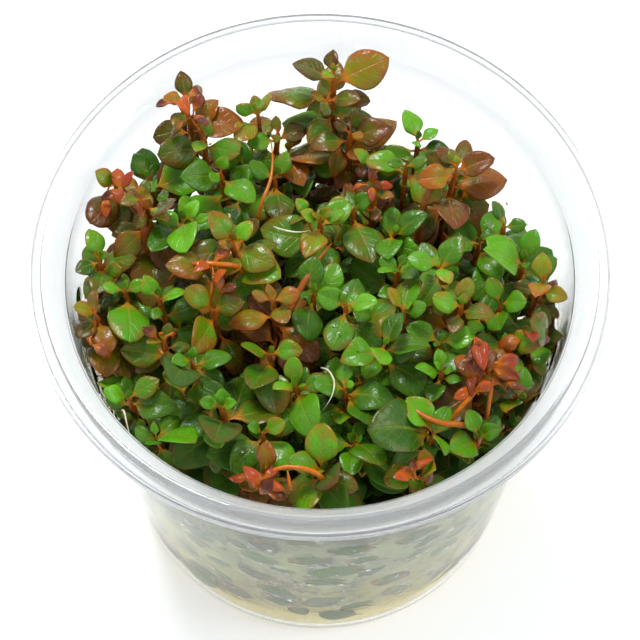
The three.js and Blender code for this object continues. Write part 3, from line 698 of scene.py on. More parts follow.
def ring_quads(ids):
    """Faces between rings of points, ids holding one ring a row."""
    low, high = ids[:-1], ids[1:]
    return np.stack([low, np.roll(low, -1, 1), np.roll(high, -1, 1), high], axis=-1).reshape(-1, 4)


def in_scene(name, mesh):
    """A new object in the scene, smooth all over."""
    mesh.validate()
    mesh.shade_smooth()
    piece = bpy.data.objects.new(name, mesh)
    bpy.context.scene.collection.objects.link(piece)
    return piece


def in_mm(items, key):
    """The x, y and z of a mesh's vertices or faces."""
    values = np.zeros(len(items) * 3, np.float32)
    items.foreach_get(key, values)
    return values.reshape(-1, 3).astype(float).T / MM


class Soup:
    """Rings of points and the faces between them, collected from many shapes into one mesh."""

    def __init__(self):
        self.points = []
        self.fields = []
        self.quads = []
        self.caps = []
        self.count = 0

    def add_rings(self, rings, fields):
        """rings is rows x around x 3. Neighbouring rows are joined, and both ends are closed."""
        rows, around = rings.shape[:2]
        ids = np.arange(rows * around).reshape(rows, around) + self.count
        self.quads.append(ring_quads(ids))
        self.caps.append(ids[0][::-1])
        self.caps.append(ids[-1])
        self.points.append(rings.reshape(-1, 3))
        self.fields.append(fields.reshape(-1, fields.shape[-1]))
        self.count += rows * around

    def build(self, name, names):
        """The piece made of all the rings, with an attribute for each of the names."""
        points = np.concatenate(self.points)
        quads = np.concatenate(self.quads)
        corners = np.concatenate([quads.reshape(-1)] + self.caps)
        totals = np.concatenate([np.full(len(quads), 4), [len(cap) for cap in self.caps]])
        starts = np.concatenate([[0], np.cumsum(totals)[:-1]])
        mesh = bpy.data.meshes.new(name)
        mesh.vertices.add(len(points))
        mesh.vertices.foreach_set("co", (points * MM).astype(np.float32).ravel())
        mesh.loops.add(len(corners))
        mesh.loops.foreach_set("vertex_index", corners.astype(np.int32))
        mesh.polygons.add(len(totals))
        mesh.polygons.foreach_set("loop_start", starts.astype(np.int32))
        mesh.update(calc_edges=True)
        piece = in_scene(name, mesh)
        for field, values in zip(names, np.concatenate(self.fields).T):
            layer = mesh.attributes.new(field, "FLOAT", "POINT")
            layer.data.foreach_set("value", values.astype(np.float32))
        return piece


def add_tube(soup, line, side, other, size, around, fields=(0.0,)):
    """A tube along a line. Side and other span its cross-section, and fields may differ by row."""
    angle = np.linspace(0, 2 * np.pi, around, endpoint=False)[:, None]
    ring = np.cos(angle) * side[:, None] + np.sin(angle) * other[:, None]
    fields = np.broadcast_to(fields, (len(line), np.shape(fields)[-1]))
    soup.add_rings(line[:, None] + ring * size[:, None, None], np.repeat(fields[:, None], around, axis=1))


def unit(vectors):
    return vectors / np.linalg.norm(vectors, axis=-1, keepdims=True)


def smooth(x, low, high):
    """0 up to low, 1 from high, and a smooth rise between them."""
    t = np.clip((x - low) / (high - low), 0, 1)
    return t * t * (3 - 2 * t)


def loosened(leaf, rng):
    """The leaf rolled about its own length and nodding a little, as living leaves are."""
    roll = math.radians(rng.normal(0, LOOSE_ROLL))
    nod = math.radians(rng.normal(0, LOOSE_NOD))
    moved = copy.copy(leaf)
    up = math.cos(nod) * leaf.up - math.sin(nod) * leaf.along
    moved.along = math.cos(nod) * leaf.along + math.sin(nod) * leaf.up
    moved.across = math.cos(roll) * leaf.across + math.sin(roll) * up
    moved.up = math.cos(roll) * up - math.sin(roll) * leaf.across
    return moved


def add_curled_shoot(soup, bed, shoot, rng):
    """A shoot whose leaves have curled up, on its own short stalk."""
    centre, number, size = shoot
    index = nearest_stem(bed.stems, centre)
    stem = bed.stems[index]
    joint = stem.point(stem.tip[2] - CURLED_STEM_DROP)
    turn = rng.uniform(0, 360)
    for k in range(number):
        node = centre + rng.normal(0, 0.5, 3)
        bearing = turn + 360 * (k + rng.uniform(-0.3, 0.3)) / number
        lift = rng.uniform(-25, 65)
        wish = Wish(index, node, bearing, size * rng.uniform(0.7, 1.25), lift, 0)
        wilt = rng.uniform(0.65, 1.0)
        for swing in CURLED_SWINGS:
            leaf = Leaf(wish, swing)
            if not bed.touches_cup(np.concatenate([leaf.samples, leaf.samples + 0.8 * leaf.along])):
                add_leaf(soup, leaf, rng.uniform(0.7, 1.1), rng, None, wilt)
                break
    line = bend_through([joint, (joint + centre) / 2 + rng.normal(0, 1, 3), centre], 2)
    add_thread(soup, line, CURLED_STALK, 6, stalk_fields(1.0, 0.1, 0.3))


def stalk_size(leaf):
    """How full a leaf's stalk is: 1 for leaves from 5.4 mm, and less for smaller ones."""
    return min(1.0, 0.4 + leaf.blade / 9)


def leaf_outline(leaf, t, wilt, rng):
    """Half the width along a leaf, t from 0 at the blade's foot to 1 at its tip."""
    peak = rng.uniform(0.8, 1.0)
    outline = np.sin(np.pi * t**peak) ** rng.uniform(0.5, 0.76)
    outline = outline * (1 - rng.uniform(0.3, 0.85) * (1 - smooth(t, 0, 0.3)))
    half = leaf.half_width * rng.uniform(0.96, 1.12) * (1 - 0.3 * wilt) * outline
    return np.maximum(half, np.where(t > 0.5, TIP_WIDTH, STALK_HALF_WIDTH * stalk_size(leaf)))


def leaf_depth(leaf, t):
    """Half the thickness along a leaf."""
    thick = LEAF_THICKNESS * (0.55 + 0.45 * min(1.0, leaf.blade / 7)) / 2
    stalk_thick = STALK_THICKNESS * stalk_size(leaf) / 2
    depth = stalk_thick + (thick - stalk_thick) * smooth(t, -0.02, 0.22)
    return depth * (1 - 0.8 * smooth(t, 0.9, 1.0))


def leaf_section(v, is_top, blend):
    """How far a cross-section's points are from its middle: round on the stalk, flat on the blade."""
    round_section = np.sqrt(np.maximum(0, 1 - v**2))
    flat_section = np.where(np.abs(v) > 0.97, 0.0, 1.0)
    sign = np.where(is_top, 1.0, -1.0) * np.where(np.abs(v) > 0.999, 0.0, 1.0)
    return sign * (round_section * (1 - blend) + flat_section * blend)


def bend_leaf(leaf, t, u, v, half, wilt, rng):
    """A leaf's sideways bend along its length, and the rise of its surface, groove and waves."""
    s = u / leaf.reach
    arch = leaf.blade * (rng.uniform(0.05, 0.13) + rng.uniform(0.0, 0.5) * wilt)
    bend = leaf.blade * rng.uniform(-0.05, 0.05)
    fold = rng.uniform(-0.12, 0.34) + rng.uniform(-0.8, 1.0) * wilt
    twist = rng.uniform(-0.6, 0.6) * (1 + 1.5 * wilt)
    droop = leaf.blade * rng.uniform(0.0, 0.22)
    wave = leaf.blade * rng.uniform(0.0, 0.045)
    quilt = leaf.blade * rng.uniform(0.003, 0.016)
    phase = rng.uniform(0, 6.28, 2)
    spine = arch * 4 * s * (1 - s) - droop * smooth(s, 0.55, 1.2)
    blend = smooth(t, 0.0, 0.2)
    width = half * v
    folded = fold * np.abs(width) * blend - twist * width * s
    groove = -0.03 * leaf.half_width * np.exp(-((v / 0.16) ** 2)) * blend
    margin = wave * np.abs(v) ** 2 * np.sin(9 * s + np.where(v > 0, phase[0], phase[1])) * blend
    rolled = -(0.3 + 0.9 * wilt) * rng.uniform(0.0, 1.0) * leaf.half_width
    curl = rolled * np.abs(v) ** 4 * blend * (half / leaf.half_width)
    bulge = quilt * np.sin(22 * t - 7 * np.abs(v) + phase[0]) * np.sin(np.pi * np.abs(v)) * blend
    return bend * 4 * s * (1 - s), spine + folded + groove + margin + curl + bulge


def add_leaf(soup, leaf, red, rng, spot=None, wilt=0.0):
    """A thin closed leaf: a stalk that widens into a blade with a sunken midrib, arched and folded.

    With a spot it lies on the inside of the wall there, and not on its stem. Wilt runs from 0 to 1.
    """
    leaf = loosened(leaf, rng)
    small = leaf.blade < SMALL_LEAF or spot is not None
    ribs = SMALL_RIBS if small else RIBS
    blade_rows = SMALL_BLADE_ROWS if small else BLADE_ROWS
    stalk_u = np.linspace(0, leaf.stalk, STALK_ROWS, endpoint=False)
    blade_u = leaf.stalk + np.linspace(0, 1, blade_rows) ** 0.9 * leaf.blade
    u = np.concatenate([stalk_u, blade_u])[:, None]
    t = np.clip((u - leaf.stalk) / leaf.blade, 0, 1)
    v = np.concatenate([ribs, UNDER_RIBS])
    is_top = np.arange(len(v)) < len(ribs)
    half = leaf_outline(leaf, t, wilt, rng)
    bend, rise = bend_leaf(leaf, t, u, v, half, wilt, rng)
    x = half * v + bend
    w = rise + leaf_section(v, is_top, smooth(t, 0.0, 0.2)) * leaf_depth(leaf, t)
    if spot:
        rings = spot.points(u, x, w)
    else:
        flat = leaf.node + u[..., None] * leaf.along + x[..., None] * leaf.across
        rings = flat + w[..., None] * leaf.up
    stalk = 1 - smooth(t, 0.02, 0.26)
    # How far down the stem the leaf's joint lies: the leaf material darkens lower leaves by it, as painted
    # shade
    shade_depth = np.clip(leaf.joint / OLDEST_JOINT, 0, 1)
    values = (t, v, rng.uniform(0, 1), red, stalk, ~is_top, shade_depth, 0.0, wilt)
    fields = np.stack([np.broadcast_to(value, rings.shape[:2]) for value in values], axis=-1)
    # Rows run from the stem outwards and points from -across to +across, which faces the quads inwards
    soup.add_rings(rings[:, ::-1], fields[:, ::-1])


def add_stem(soup, stem, joints):
    """A round stem with a slight swelling at each joint."""
    heights = np.linspace(stem.foot[2] - STEM_ROOTED, stem.tip[2] + 0.4, STEM_STEPS)
    t = (heights - stem.foot[2]) / (stem.tip[2] - stem.foot[2])
    curve = bowed(stem.foot, stem.knee, stem.tip, t[:, None])
    radius = STEM_FOOT_RADIUS + (STEM_TIP_RADIUS - STEM_FOOT_RADIUS) * np.clip(t, 0, 1) ** 2
    for joint in joints:
        radius = radius + JOINT_SWELLING * np.exp(-(((heights - joint) / JOINT_LENGTH) ** 2))
    radius[-1] = 0.1
    fields = [stalk_fields(stem.red, 1.0, 0.0, height) for height in np.clip(t, 0, 1)]
    add_tube(soup, curve, np.array([[1, 0, 0]]), np.array([[0, 1, 0]]), radius, STEM_SIDES, fields)


def arc(centre, radius, start, end, steps):
    """Points of an arc in the profile plane, angles in degrees from the outward direction."""
    angles = np.radians(np.linspace(start, end, steps))
    return [(centre[0] + radius * math.cos(a), centre[1] + radius * math.sin(a)) for a in angles]


def lathe(name, profile, sides):
    """A closed body of revolution whose profile starts and ends on the axis."""
    profile = np.array(profile)
    angle = np.linspace(0, 2 * np.pi, sides, endpoint=False)
    ring = profile[1:-1]
    rows = len(ring)
    points = np.stack([
        ring[:, None, 0] * np.cos(angle),
        ring[:, None, 0] * np.sin(angle),
        np.broadcast_to(ring[:, None, 1], (rows, sides)),
    ], axis=-1)
    ids = np.arange(rows * sides).reshape(rows, sides)
    first, last = rows * sides, rows * sides + 1
    fan_low = [(first, int(b), int(a)) for a, b in zip(ids[0], np.roll(ids[0], -1))]
    fan_high = [(last, int(a), int(b)) for a, b in zip(ids[-1], np.roll(ids[-1], -1))]
    vertices = np.concatenate([points.reshape(-1, 3), [[0, 0, profile[0, 1]], [0, 0, profile[-1, 1]]]])
    mesh = bpy.data.meshes.new(name)
    mesh.from_pydata((vertices * MM).tolist(), [], ring_quads(ids).tolist() + fan_low + fan_high)
    return in_scene(name, mesh)


def wall_face(z):
    """The inner face of the wall, which is drawn thinner towards the top."""
    return inner_radius(z) + WALL_THINNING * smooth(z, THINNING_START, shoulder_height)


def make_cup(pressed):
    """Floor, tapered wall, sloped shoulder, seat bead and rolled lip in one moulding."""
    fillet = (BASE_RADIUS - BASE_FILLET, BASE_FILLET)
    inner_fillet = (BASE_RADIUS - BASE_FILLET, BASE_FILLET + FLOOR_THICKNESS - WALL_THICKNESS)
    inner_corner = BASE_FILLET - WALL_THICKNESS
    lip_foot = RIM_HEIGHT - LIP_DROP
    lip_inside = RIM_RADIUS - LIP_THICKNESS
    underside = RIM_HEIGHT - LIP_THICKNESS
    bead_radius = BEAD_RISE / 2
    bead_top = RIM_HEIGHT + BEAD_RISE - bead_radius
    wall_top = wall_face(shoulder_height)
    outside = [
        (0, 0),
        (BASE_RADIUS - BASE_FILLET - 3, 0),
        *arc(fillet, BASE_FILLET, -90, 0, 10),
        (WALL_TOP_RADIUS - 0.1, shoulder_height - 1),
        (WALL_TOP_RADIUS, shoulder_height),
        (WALL_TOP_RADIUS + 0.5, shoulder_height + 0.5),
        (BEAD_INNER_RADIUS - 0.3, underside - 0.3),
        (BEAD_INNER_RADIUS + 0.3, underside),
        (lip_inside - 0.3, underside),
        (lip_inside, underside - 0.3),
        (lip_inside, lip_foot + 0.2),
        *arc((lip_inside + 0.2, lip_foot + 0.2), 0.2, 180, 270, 4),
        *arc((RIM_RADIUS - 0.2, lip_foot + 0.2), 0.2, 270, 360, 4),
        *arc((RIM_RADIUS - LIP_ROUND, RIM_HEIGHT - LIP_ROUND), LIP_ROUND, 0, 90, 7),
        (BEAD_OUTER_RADIUS + 0.15, RIM_HEIGHT),
        (BEAD_OUTER_RADIUS, RIM_HEIGHT + 0.08),
        *arc((BEAD_OUTER_RADIUS - bead_radius, bead_top), bead_radius, 0, 90, 5),
        *arc((BEAD_INNER_RADIUS + bead_radius, bead_top), bead_radius, 90, 140, 3),
    ]
    inside = [
        (0, FLOOR_THICKNESS),
        (BASE_RADIUS - BASE_FILLET - 3, FLOOR_THICKNESS),
        *arc(inner_fillet, inner_corner, -90, 0, 8)[:-1],
        *[(wall_face(z), z) for z in np.linspace(BASE_FILLET + 0.5, shoulder_height - 2, CUP_WALL_ROWS)],
        (wall_top - 0.1, shoulder_height - 1),
        (wall_top + 0.02, shoulder_height - 0.1),
        (wall_top + 0.35, shoulder_height + 0.5),
    ]
    piece = lathe("clear_cup", outside + inside[::-1], CUP_SIDES)
    x, y, z = in_mm(piece.data.vertices, "co")
    angle = np.arctan2(y, x)
    on_face = np.abs(np.hypot(x, y) - wall_face(z)) < 0.06
    inside_wall = on_face & (z > BASE_FILLET) & (z < shoulder_height - 0.5)
    dry = np.ones(len(x))
    for leaf, spot in pressed:
        dry = np.minimum(dry, 1 - spot.wipe * smooth(cover(leaf, spot, angle, z, 0.0), -0.3, 0.3))
    over_wall = in_mm(piece.data.polygons, "center")[2] > shoulder_height
    piece.data.polygons.foreach_set("material_index", over_wall.astype(np.int32))
    layer = piece.data.attributes.new("cup_fog", "FLOAT", "POINT")
    layer.data.foreach_set("value", (inside_wall * dry).astype(np.float32))
    return piece


def make_gel():
    """The jelly, which creeps a little way up the wall."""
    corner = BASE_FILLET - WALL_THICKNESS - GAP
    centre = (BASE_RADIUS - BASE_FILLET, BASE_FILLET + FLOOR_THICKNESS - WALL_THICKNESS)
    edge = float(inner_radius(GEL_TOP)) - GAP
    rise = [
        (edge - MENISCUS_WIDTH * share, GEL_TOP + MENISCUS_RISE * (1 - share) ** 2)
        for share in np.linspace(0, 1, 6)
    ]
    profile = [
        (0, FLOOR_THICKNESS + GAP), *arc(centre, corner, -90, 0, 7), *rise,
        (edge * 0.7, GEL_TOP), (edge * 0.4, GEL_TOP), (0, GEL_TOP),
    ]
    return lathe("cloudy_gel", profile, GEL_SIDES)


# Threads, roots and drops
NEARLY_UP = (0.13, 0.27, 0.95)
THREAD_TAPER = 0.75
WALL_BEADS = 760
WALL_BEAD_RISE = 50
WALL_BEAD_RADIUS = 0.17
WALL_BEAD_LARGEST = 0.7
LEAF_DROP_SHARE = 0.16
ROOTS_A_STEM = 5
ROOT_STEPS = 9
ROOT_WALL_GAP = 0.7
ROOT_LOWEST = 3.5
WALL_ROOTS = 70
WALL_ROOT_STEPS = 12


def add_ellipsoid(soup, centre, axes, radii, rows, around):
    """axes are three unit vectors; the poles lie along the third."""
    polar = np.linspace(0.12, np.pi - 0.12, rows)
    angle = np.linspace(0, 2 * np.pi, around, endpoint=False)
    local = np.stack([
        np.sin(polar)[:, None] * np.cos(angle) * radii[0],
        np.sin(polar)[:, None] * np.sin(angle) * radii[1],
        np.broadcast_to(-np.cos(polar)[:, None] * radii[2], (rows, around)),
    ], axis=-1)
    rings = centre + local @ np.array(axes)
    soup.add_rings(rings, np.zeros(rings.shape[:2] + (1,)))


def add_thread(soup, points, radius, around=5, fields=(0.0,)):
    """A thin tube along a line of points, with a tapering end."""
    points = np.array(points, float)
    tangent = np.gradient(points, axis=0)
    tangent /= np.linalg.norm(tangent, axis=1)[:, None] + 1e-9
    side = np.cross(tangent, NEARLY_UP)
    side /= np.linalg.norm(side, axis=1)[:, None] + 1e-9
    other = np.cross(tangent, side)
    size = radius * (1 - THREAD_TAPER * np.linspace(0, 1, len(points)) ** 3)
    add_tube(soup, points, side, other, size, around, fields)


def wall_point(angle, z, inset):
    radius = float(inner_radius(z)) - inset
    return np.array([radius * math.cos(angle), radius * math.sin(angle), z])


def add_wet_edge(soup, leaf, spot, rng):
    """Water that has gathered along a part of a pressed leaf's edge."""
    start = rng.uniform(0.02, 0.6)
    t = np.linspace(start, min(0.99, start + rng.uniform(0.25, 0.6)), WET_STEPS)
    outline = pressed_outline(leaf, t) + rng.uniform(0.0, 0.3)
    line = spot.points(leaf.stalk + t * leaf.blade, outline * rng.choice((-1, 1)), np.zeros(WET_STEPS))
    line = line * (1 - 0.15 / np.hypot(line[:, :1], line[:, 1:2])) ** [1, 1, 0]
    line = line[line[:, 2] > GEL_TOP + 1]
    if len(line) < 3:
        return
    out = unit(line * [1, 1, 0])
    side = unit(np.cross(out, np.gradient(line, axis=0)))
    taper = np.sin(np.pi * np.linspace(0.05, 0.95, len(line))) ** 0.5
    add_tube(soup, line, side * rng.uniform(*WET_WIDTHS), out * WET_DEPTH, taper, WET_SIDES)


def make_wall_drops(pressed, rng):
    """Condensation on the wall's inside: beads, and wet edges round the leaves that lie on it."""
    soup = Soup()
    for leaf, spot in pressed:
        for _ in range(rng.integers(1, 5)):
            add_wet_edge(soup, leaf, spot, rng)
    for _ in range(WALL_BEADS):
        angle = rng.uniform(0, 2 * math.pi)
        z = GEL_TOP + 1.5 + WALL_BEAD_RISE * rng.uniform(0, 1) ** 1.2
        size = min(WALL_BEAD_LARGEST, WALL_BEAD_RADIUS * math.exp(rng.normal(0, 0.6)))
        tall = size * rng.uniform(0.8, 1.3)
        depth = size * 0.35
        out = np.array([math.cos(angle), math.sin(angle), 0.0])
        along = np.array([-math.sin(angle), math.cos(angle), 0.0])
        up = unit(np.array([wall_slope * out[0], wall_slope * out[1], 1.0]))
        lean = rng.uniform(-0.5, 0.5)
        axes = (unit(along - lean * up), out, unit(up + lean * along))
        add_ellipsoid(soup, wall_point(angle, z, 0.02), axes, (size, depth, tall), 5, 7)
    return soup.build("wall_drops", ())


def make_leaf_drops(leaves, rng):
    """Drops of water that lie on some of the blades."""
    soup = Soup()
    for leaf in leaves:
        if leaf.blade <= 4.5 or leaf.along[2] >= 0.5 or leaf.joint >= OLDEST_JOINT:
            continue
        if rng.uniform() > LEAF_DROP_SHARE:
            continue
        for _ in range(rng.integers(1, 4)):
            size = rng.uniform(0.14, 0.42)
            u = leaf.stalk + leaf.blade * rng.uniform(0.3, 0.7)
            v = leaf.half_width * rng.uniform(-0.4, 0.4)
            centre = leaf.node + u * leaf.along + v * leaf.across + (0.1 * leaf.blade + 0.1) * leaf.up
            radii = (size * 1.15, size, size * 0.6)
            add_ellipsoid(soup, centre, (leaf.along, leaf.across, leaf.up), radii, 6, 9)
    return soup.build("leaf_drops", ())


def make_roots(stems, rng):
    """Pale roots: from the lower joints down into the jelly, and along the wall."""
    soup = Soup()
    for stem in stems:
        for _ in range(ROOTS_A_STEM):
            z = GEL_TOP + rng.uniform(0.5, 16)
            start = stem.point(z)
            heading = rng.uniform(0, 2 * math.pi)
            points = [start]
            position = start.copy()
            drop = (z - GEL_TOP + rng.uniform(1, 9)) / ROOT_STEPS
            for _ in range(ROOT_STEPS):
                heading += rng.uniform(-0.5, 0.5)
                step = rng.uniform(0.5, 1.3)
                position = position + [step * math.cos(heading), step * math.sin(heading), -drop]
                limit = float(inner_radius(max(position[2], 4.0))) - ROOT_WALL_GAP
                position[:2] *= min(1.0, limit / math.hypot(position[0], position[1]))
                position[2] = max(position[2], ROOT_LOWEST)
                points.append(position.copy())
            add_thread(soup, points, rng.uniform(0.09, 0.17))
    for _ in range(WALL_ROOTS):
        angle = rng.uniform(0, 2 * math.pi)
        z = rng.uniform(GEL_TOP + 2, GEL_TOP + 26)
        points = []
        for _ in range(WALL_ROOT_STEPS):
            points.append(wall_point(angle, z, 0.35))
            angle += rng.uniform(-0.035, 0.035)
            z -= rng.uniform(0.3, 1.6)
            if z < GEL_TOP - 6:
                break
        if len(points) > 3:
            add_thread(soup, points, rng.uniform(0.08, 0.14))
    for points in FREE_ROOTS:
        add_thread(soup, bend_through(points, 3), 0.17)
    return soup.build("pale_roots", ())


class Graph:
    """A material's nodes, added one by one and linked as they are made."""

    def __init__(self, name):
        self.material = bpy.data.materials.new(name)
        self.material.use_nodes = True
        self.tree = self.material.node_tree
        self.shader = self.tree.nodes["Principled BSDF"]

    def node(self, kind, **settings):
        made = self.tree.nodes.new(kind)
        for key, value in settings.items():
            setattr(made, key, value)
        return made

    def link(self, value, socket):
        if isinstance(value, (int, float)):
            socket.default_value = value
        elif isinstance(value, tuple):
            socket.default_value = (*value, 1.0) if len(value) == 3 and socket.type == "RGBA" else value
        else:
            self.tree.links.new(value, socket)

    def field(self, name):
        return self.node("ShaderNodeAttribute", attribute_name=name).outputs["Fac"]

    def math(self, operation, a, b=0.0, c=0.0):
        made = self.node("ShaderNodeMath", operation=operation)
        for socket, value in zip(made.inputs, (a, b, c)):
            self.link(value, socket)
        return made.outputs[0]

    def times(self, a, b):
        return self.math("MULTIPLY", a, b)

    def plus(self, a, b):
        return self.math("ADD", a, b)

    def scaled(self, value, factor, shift):
        return self.math("MULTIPLY_ADD", value, factor, shift)

    def step(self, value, low, high, to_low=0.0, to_high=1.0):
        made = self.node("ShaderNodeMapRange", interpolation_type="SMOOTHSTEP")
        for socket, number in zip(made.inputs, (value, low, high, to_low, to_high)):
            self.link(number, socket)
        return made.outputs[0]

    def mix(self, share, a, b, blend="MIX"):
        made = self.node("ShaderNodeMix", data_type="RGBA", blend_type=blend)
        self.link(share, made.inputs[0])
        self.link(a, made.inputs[6])
        self.link(b, made.inputs[7])
        return made.outputs[2]

    def noise(self, scale, detail=3.0, roughness=0.55, stretch=None):
        """Noise over the object's own coordinates, scale in cycles per metre."""
        where = self.node("ShaderNodeTexCoord").outputs["Object"]
        if stretch:
            mapping = self.node("ShaderNodeMapping")
            mapping.inputs["Scale"].default_value = stretch
            self.link(where, mapping.inputs["Vector"])
            where = mapping.outputs[0]
        made = self.node("ShaderNodeTexNoise")
        self.link(where, made.inputs["Vector"])
        self.link(scale, made.inputs["Scale"])
        self.link(detail, made.inputs["Detail"])
        self.link(roughness, made.inputs["Roughness"])
        return made.outputs["Fac"]

    def bump(self, height, strength, distance):
        made = self.node("ShaderNodeBump")
        self.link(height, made.inputs["Height"])
        self.link(strength, made.inputs["Strength"])
        self.link(distance, made.inputs["Distance"])
        self.tree.links.new(made.outputs[0], self.shader.inputs["Normal"])

    def set(self, **values):
        """Puts numbers, colours or outputs on the shader, underscores standing for spaces."""
        for key, value in values.items():
            self.link(value, self.shader.inputs[key.replace("_", " ")])


def leaf_material(name, redness, shine=0.36, painted_shade=0.0):
    """Glossy leaves from green to bronze, with pale veins, and orange to brown-red stalks and stems. Leaves
    lower on the stem are darkened as painted shade, and a material for leaves on the wall can be darkened
    all over as painted shade.
    """
    g = Graph(name)
    t, v, tint, wilt, red, stalk, under, shade_depth, stem = [
        g.field("leaf_" + part)
        for part in ("t", "v", "tint", "wilt", "red", "stalk", "under", "dark", "stem")
    ]
    across = g.math("ABSOLUTE", v)
    clouds = g.noise(260.0, 2.0)
    patches = g.noise(700.0, 3.0)
    green = g.mix(tint, (0.022, 0.09, 0.002), (0.12, 0.4, 0.004))
    green = g.mix(g.step(clouds, 0.35, 0.7, 0.0, 0.45), green, (0.1, 0.2, 0.003))
    # Painted shade: leaves lower on the stem are darkened towards deep green, olive and brown
    green = g.mix(g.times(shade_depth, 0.65), green, (0.03, 0.075, 0.004))
    olive = g.mix(tint, (0.075, 0.065, 0.002), (0.27, 0.21, 0.003))
    bronze = g.mix(tint, (0.07, 0.018, 0.003), (0.4, 0.11, 0.003))
    olive = g.mix(g.times(shade_depth, 0.5), olive, (0.05, 0.05, 0.004))
    bronze = g.mix(g.times(shade_depth, 0.5), bronze, (0.09, 0.03, 0.01))
    bronze = g.mix(g.step(patches, 0.45, 0.75, 0.0, 0.4), bronze, (0.2, 0.085, 0.003))
    blush = g.scaled(red, 0.95, redness - 0.19)
    blush = g.plus(blush, g.scaled(clouds, 0.9, -0.45))
    blush = g.plus(blush, g.scaled(patches, 0.3, -0.15))
    blush = g.plus(blush, g.times(g.step(across, 0.35, 1.0), 0.2))
    blush = g.plus(blush, g.scaled(t, 0.36, -0.18))
    face = g.mix(g.step(blush, 0.22, 0.6), green, olive)
    face = g.mix(g.step(blush, 0.52, 0.92), face, bronze)
    slant = g.scaled(across, -2.1, g.times(t, 6.0))
    ridge = g.math("ABSOLUTE", g.math("SUBTRACT", g.math("FRACT", slant), 0.5))
    lateral = g.times(g.step(ridge, 0.03, 0.12, 1.0, 0.0), g.step(across, 0.7, 0.95, 1.0, 0.0))
    midrib = g.step(across, 0.03, 0.09, 1.0, 0.0)
    vein_colour = g.mix(g.step(blush, 0.3, 0.8), (0.2, 0.24, 0.02), (0.44, 0.11, 0.01))
    face = g.mix(g.times(lateral, 0.12), face, vein_colour)
    face = g.mix(g.times(midrib, g.step(t, 0.1, 0.8, 0.8, 0.12)), face, vein_colour)
    pale = g.mix(g.step(blush, 0.2, 0.75), (0.12, 0.18, 0.02), (0.3, 0.09, 0.015))
    # Paler undersides, shown less on leaves lower on the stem as painted shade
    face = g.mix(g.times(under, g.scaled(shade_depth, -0.45, 0.7)), face, pale)
    stalk_colour = g.mix(g.step(red, 0.1, 0.75), (0.38, 0.26, 0.005), (0.56, 0.15, 0.003))
    stalk_colour = g.mix(g.step(patches, 0.4, 0.75, 0.0, 0.5), stalk_colour, (0.4, 0.07, 0.006))
    woody = g.mix(g.step(t, 0.55, 1.0), (0.19, 0.035, 0.008), (0.36, 0.085, 0.008))
    woody = g.mix(g.step(clouds, 0.4, 0.7, 0.0, 0.5), woody, (0.3, 0.14, 0.01))
    stalk_colour = g.mix(stem, stalk_colour, woody)
    face = g.mix(wilt, face, g.mix(g.step(tint, 0.3, 0.6), (0.1, 0.016, 0.004), (0.32, 0.026, 0.003)))
    face = g.mix(g.times(wilt, g.step(tint, 0.65, 0.95, 0.0, 0.7)), face, (0.54, 0.1, 0.003))
    face = g.mix(g.times(wilt, g.step(t, 0.1, 0.55, 0.85, 0.0)), face, (0.56, 0.15, 0.003))
    face = g.mix(g.times(wilt, g.step(patches, 0.45, 0.7, 0.0, 0.6)), face, (0.2, 0.035, 0.006))
    colour = g.mix(stalk, face, stalk_colour)
    # Painted shade: the whole leaf darkened towards a deep green
    if painted_shade:
        colour = g.mix(painted_shade, colour, (0.025, 0.055, 0.008))
    gloss = g.plus(g.step(patches, 0.3, 0.7, 0.17, 0.36), g.step(shade_depth, 0.85, 1.0, 0.0, 0.5))
    g.set(Base_Color=colour, Roughness=gloss, Specular_IOR_Level=shine)
    relief = g.scaled(lateral, -0.5, g.times(midrib, -0.8))
    relief = g.plus(relief, g.times(g.noise(1300.0, 2.0), 1.6))
    g.bump(relief, 0.45, 0.00016)
    return g.material


MIST_WHITENESS = 0.37


def cup_material(name, ior, specular):
    """Clear plastic, with a fog of fine drops on the inside of the wall where no leaf lies on it; the fog's
    tint is painted light and the grey towards the rim is painted shade.

    Heights are in metres here.
    """
    g = Graph(name)
    place = g.node("ShaderNodeSeparateXYZ")
    g.link(g.node("ShaderNodeTexCoord").outputs["Object"], place.inputs[0])
    height = place.outputs["Z"]
    zone = g.times(g.step(height, 0.009, 0.021), g.step(height, 0.05, 0.08, 1.0, 0.0))
    dry = g.field("cup_fog")
    fog = g.times(zone, dry)
    cloud = g.noise(160.0, 4.0, 0.6, (1.0, 1.0, 0.45))
    fog = g.times(fog, g.step(cloud, 0.32, 0.62, 0.5, 1.0))
    run = g.times(dry, g.step(g.noise(330.0, 3.0, 0.6, (1.0, 1.0, 1.5)), 0.54, 0.6))
    fog = g.times(fog, g.scaled(run, -0.25, 1.0))
    rim = g.step(height, 0.075, 0.0835)
    # Painted shade: the plastic is tinted grey from 50 mm up to the rim, dimming the bright light table seen
    # through it
    plastic_with_painted_shade = g.mix(g.step(height, 0.05, 0.078), (0.985, 0.99, 0.985), (0.78, 0.79, 0.785))
    # Painted light: the fog is tinted yellow near the jelly and green higher up, standing in for the light
    # that the jelly and leaves behind it give it
    mist_painted_light = g.mix(g.step(height, 0.018, 0.05), (0.88, 0.84, 0.4), (0.85, 0.92, 0.56))
    g.set(Base_Color=g.mix(fog, plastic_with_painted_shade, mist_painted_light))
    g.set(Roughness=g.scaled(fog, 0.1, 0.02), IOR=ior, Specular_IOR_Level=specular)
    clear = g.scaled(fog, -MIST_WHITENESS, 0.99)
    g.set(Transmission_Weight=g.math("SUBTRACT", clear, g.times(rim, 0.22)))
    beads = g.times(g.noise(750.0, 3.0), g.scaled(zone, dry, 0.04))
    relief = g.plus(beads, g.times(zone, g.scaled(run, 0.5, g.times(dry, 0.7))))
    g.bump(relief, 0.3, 0.0003)
    return g.material


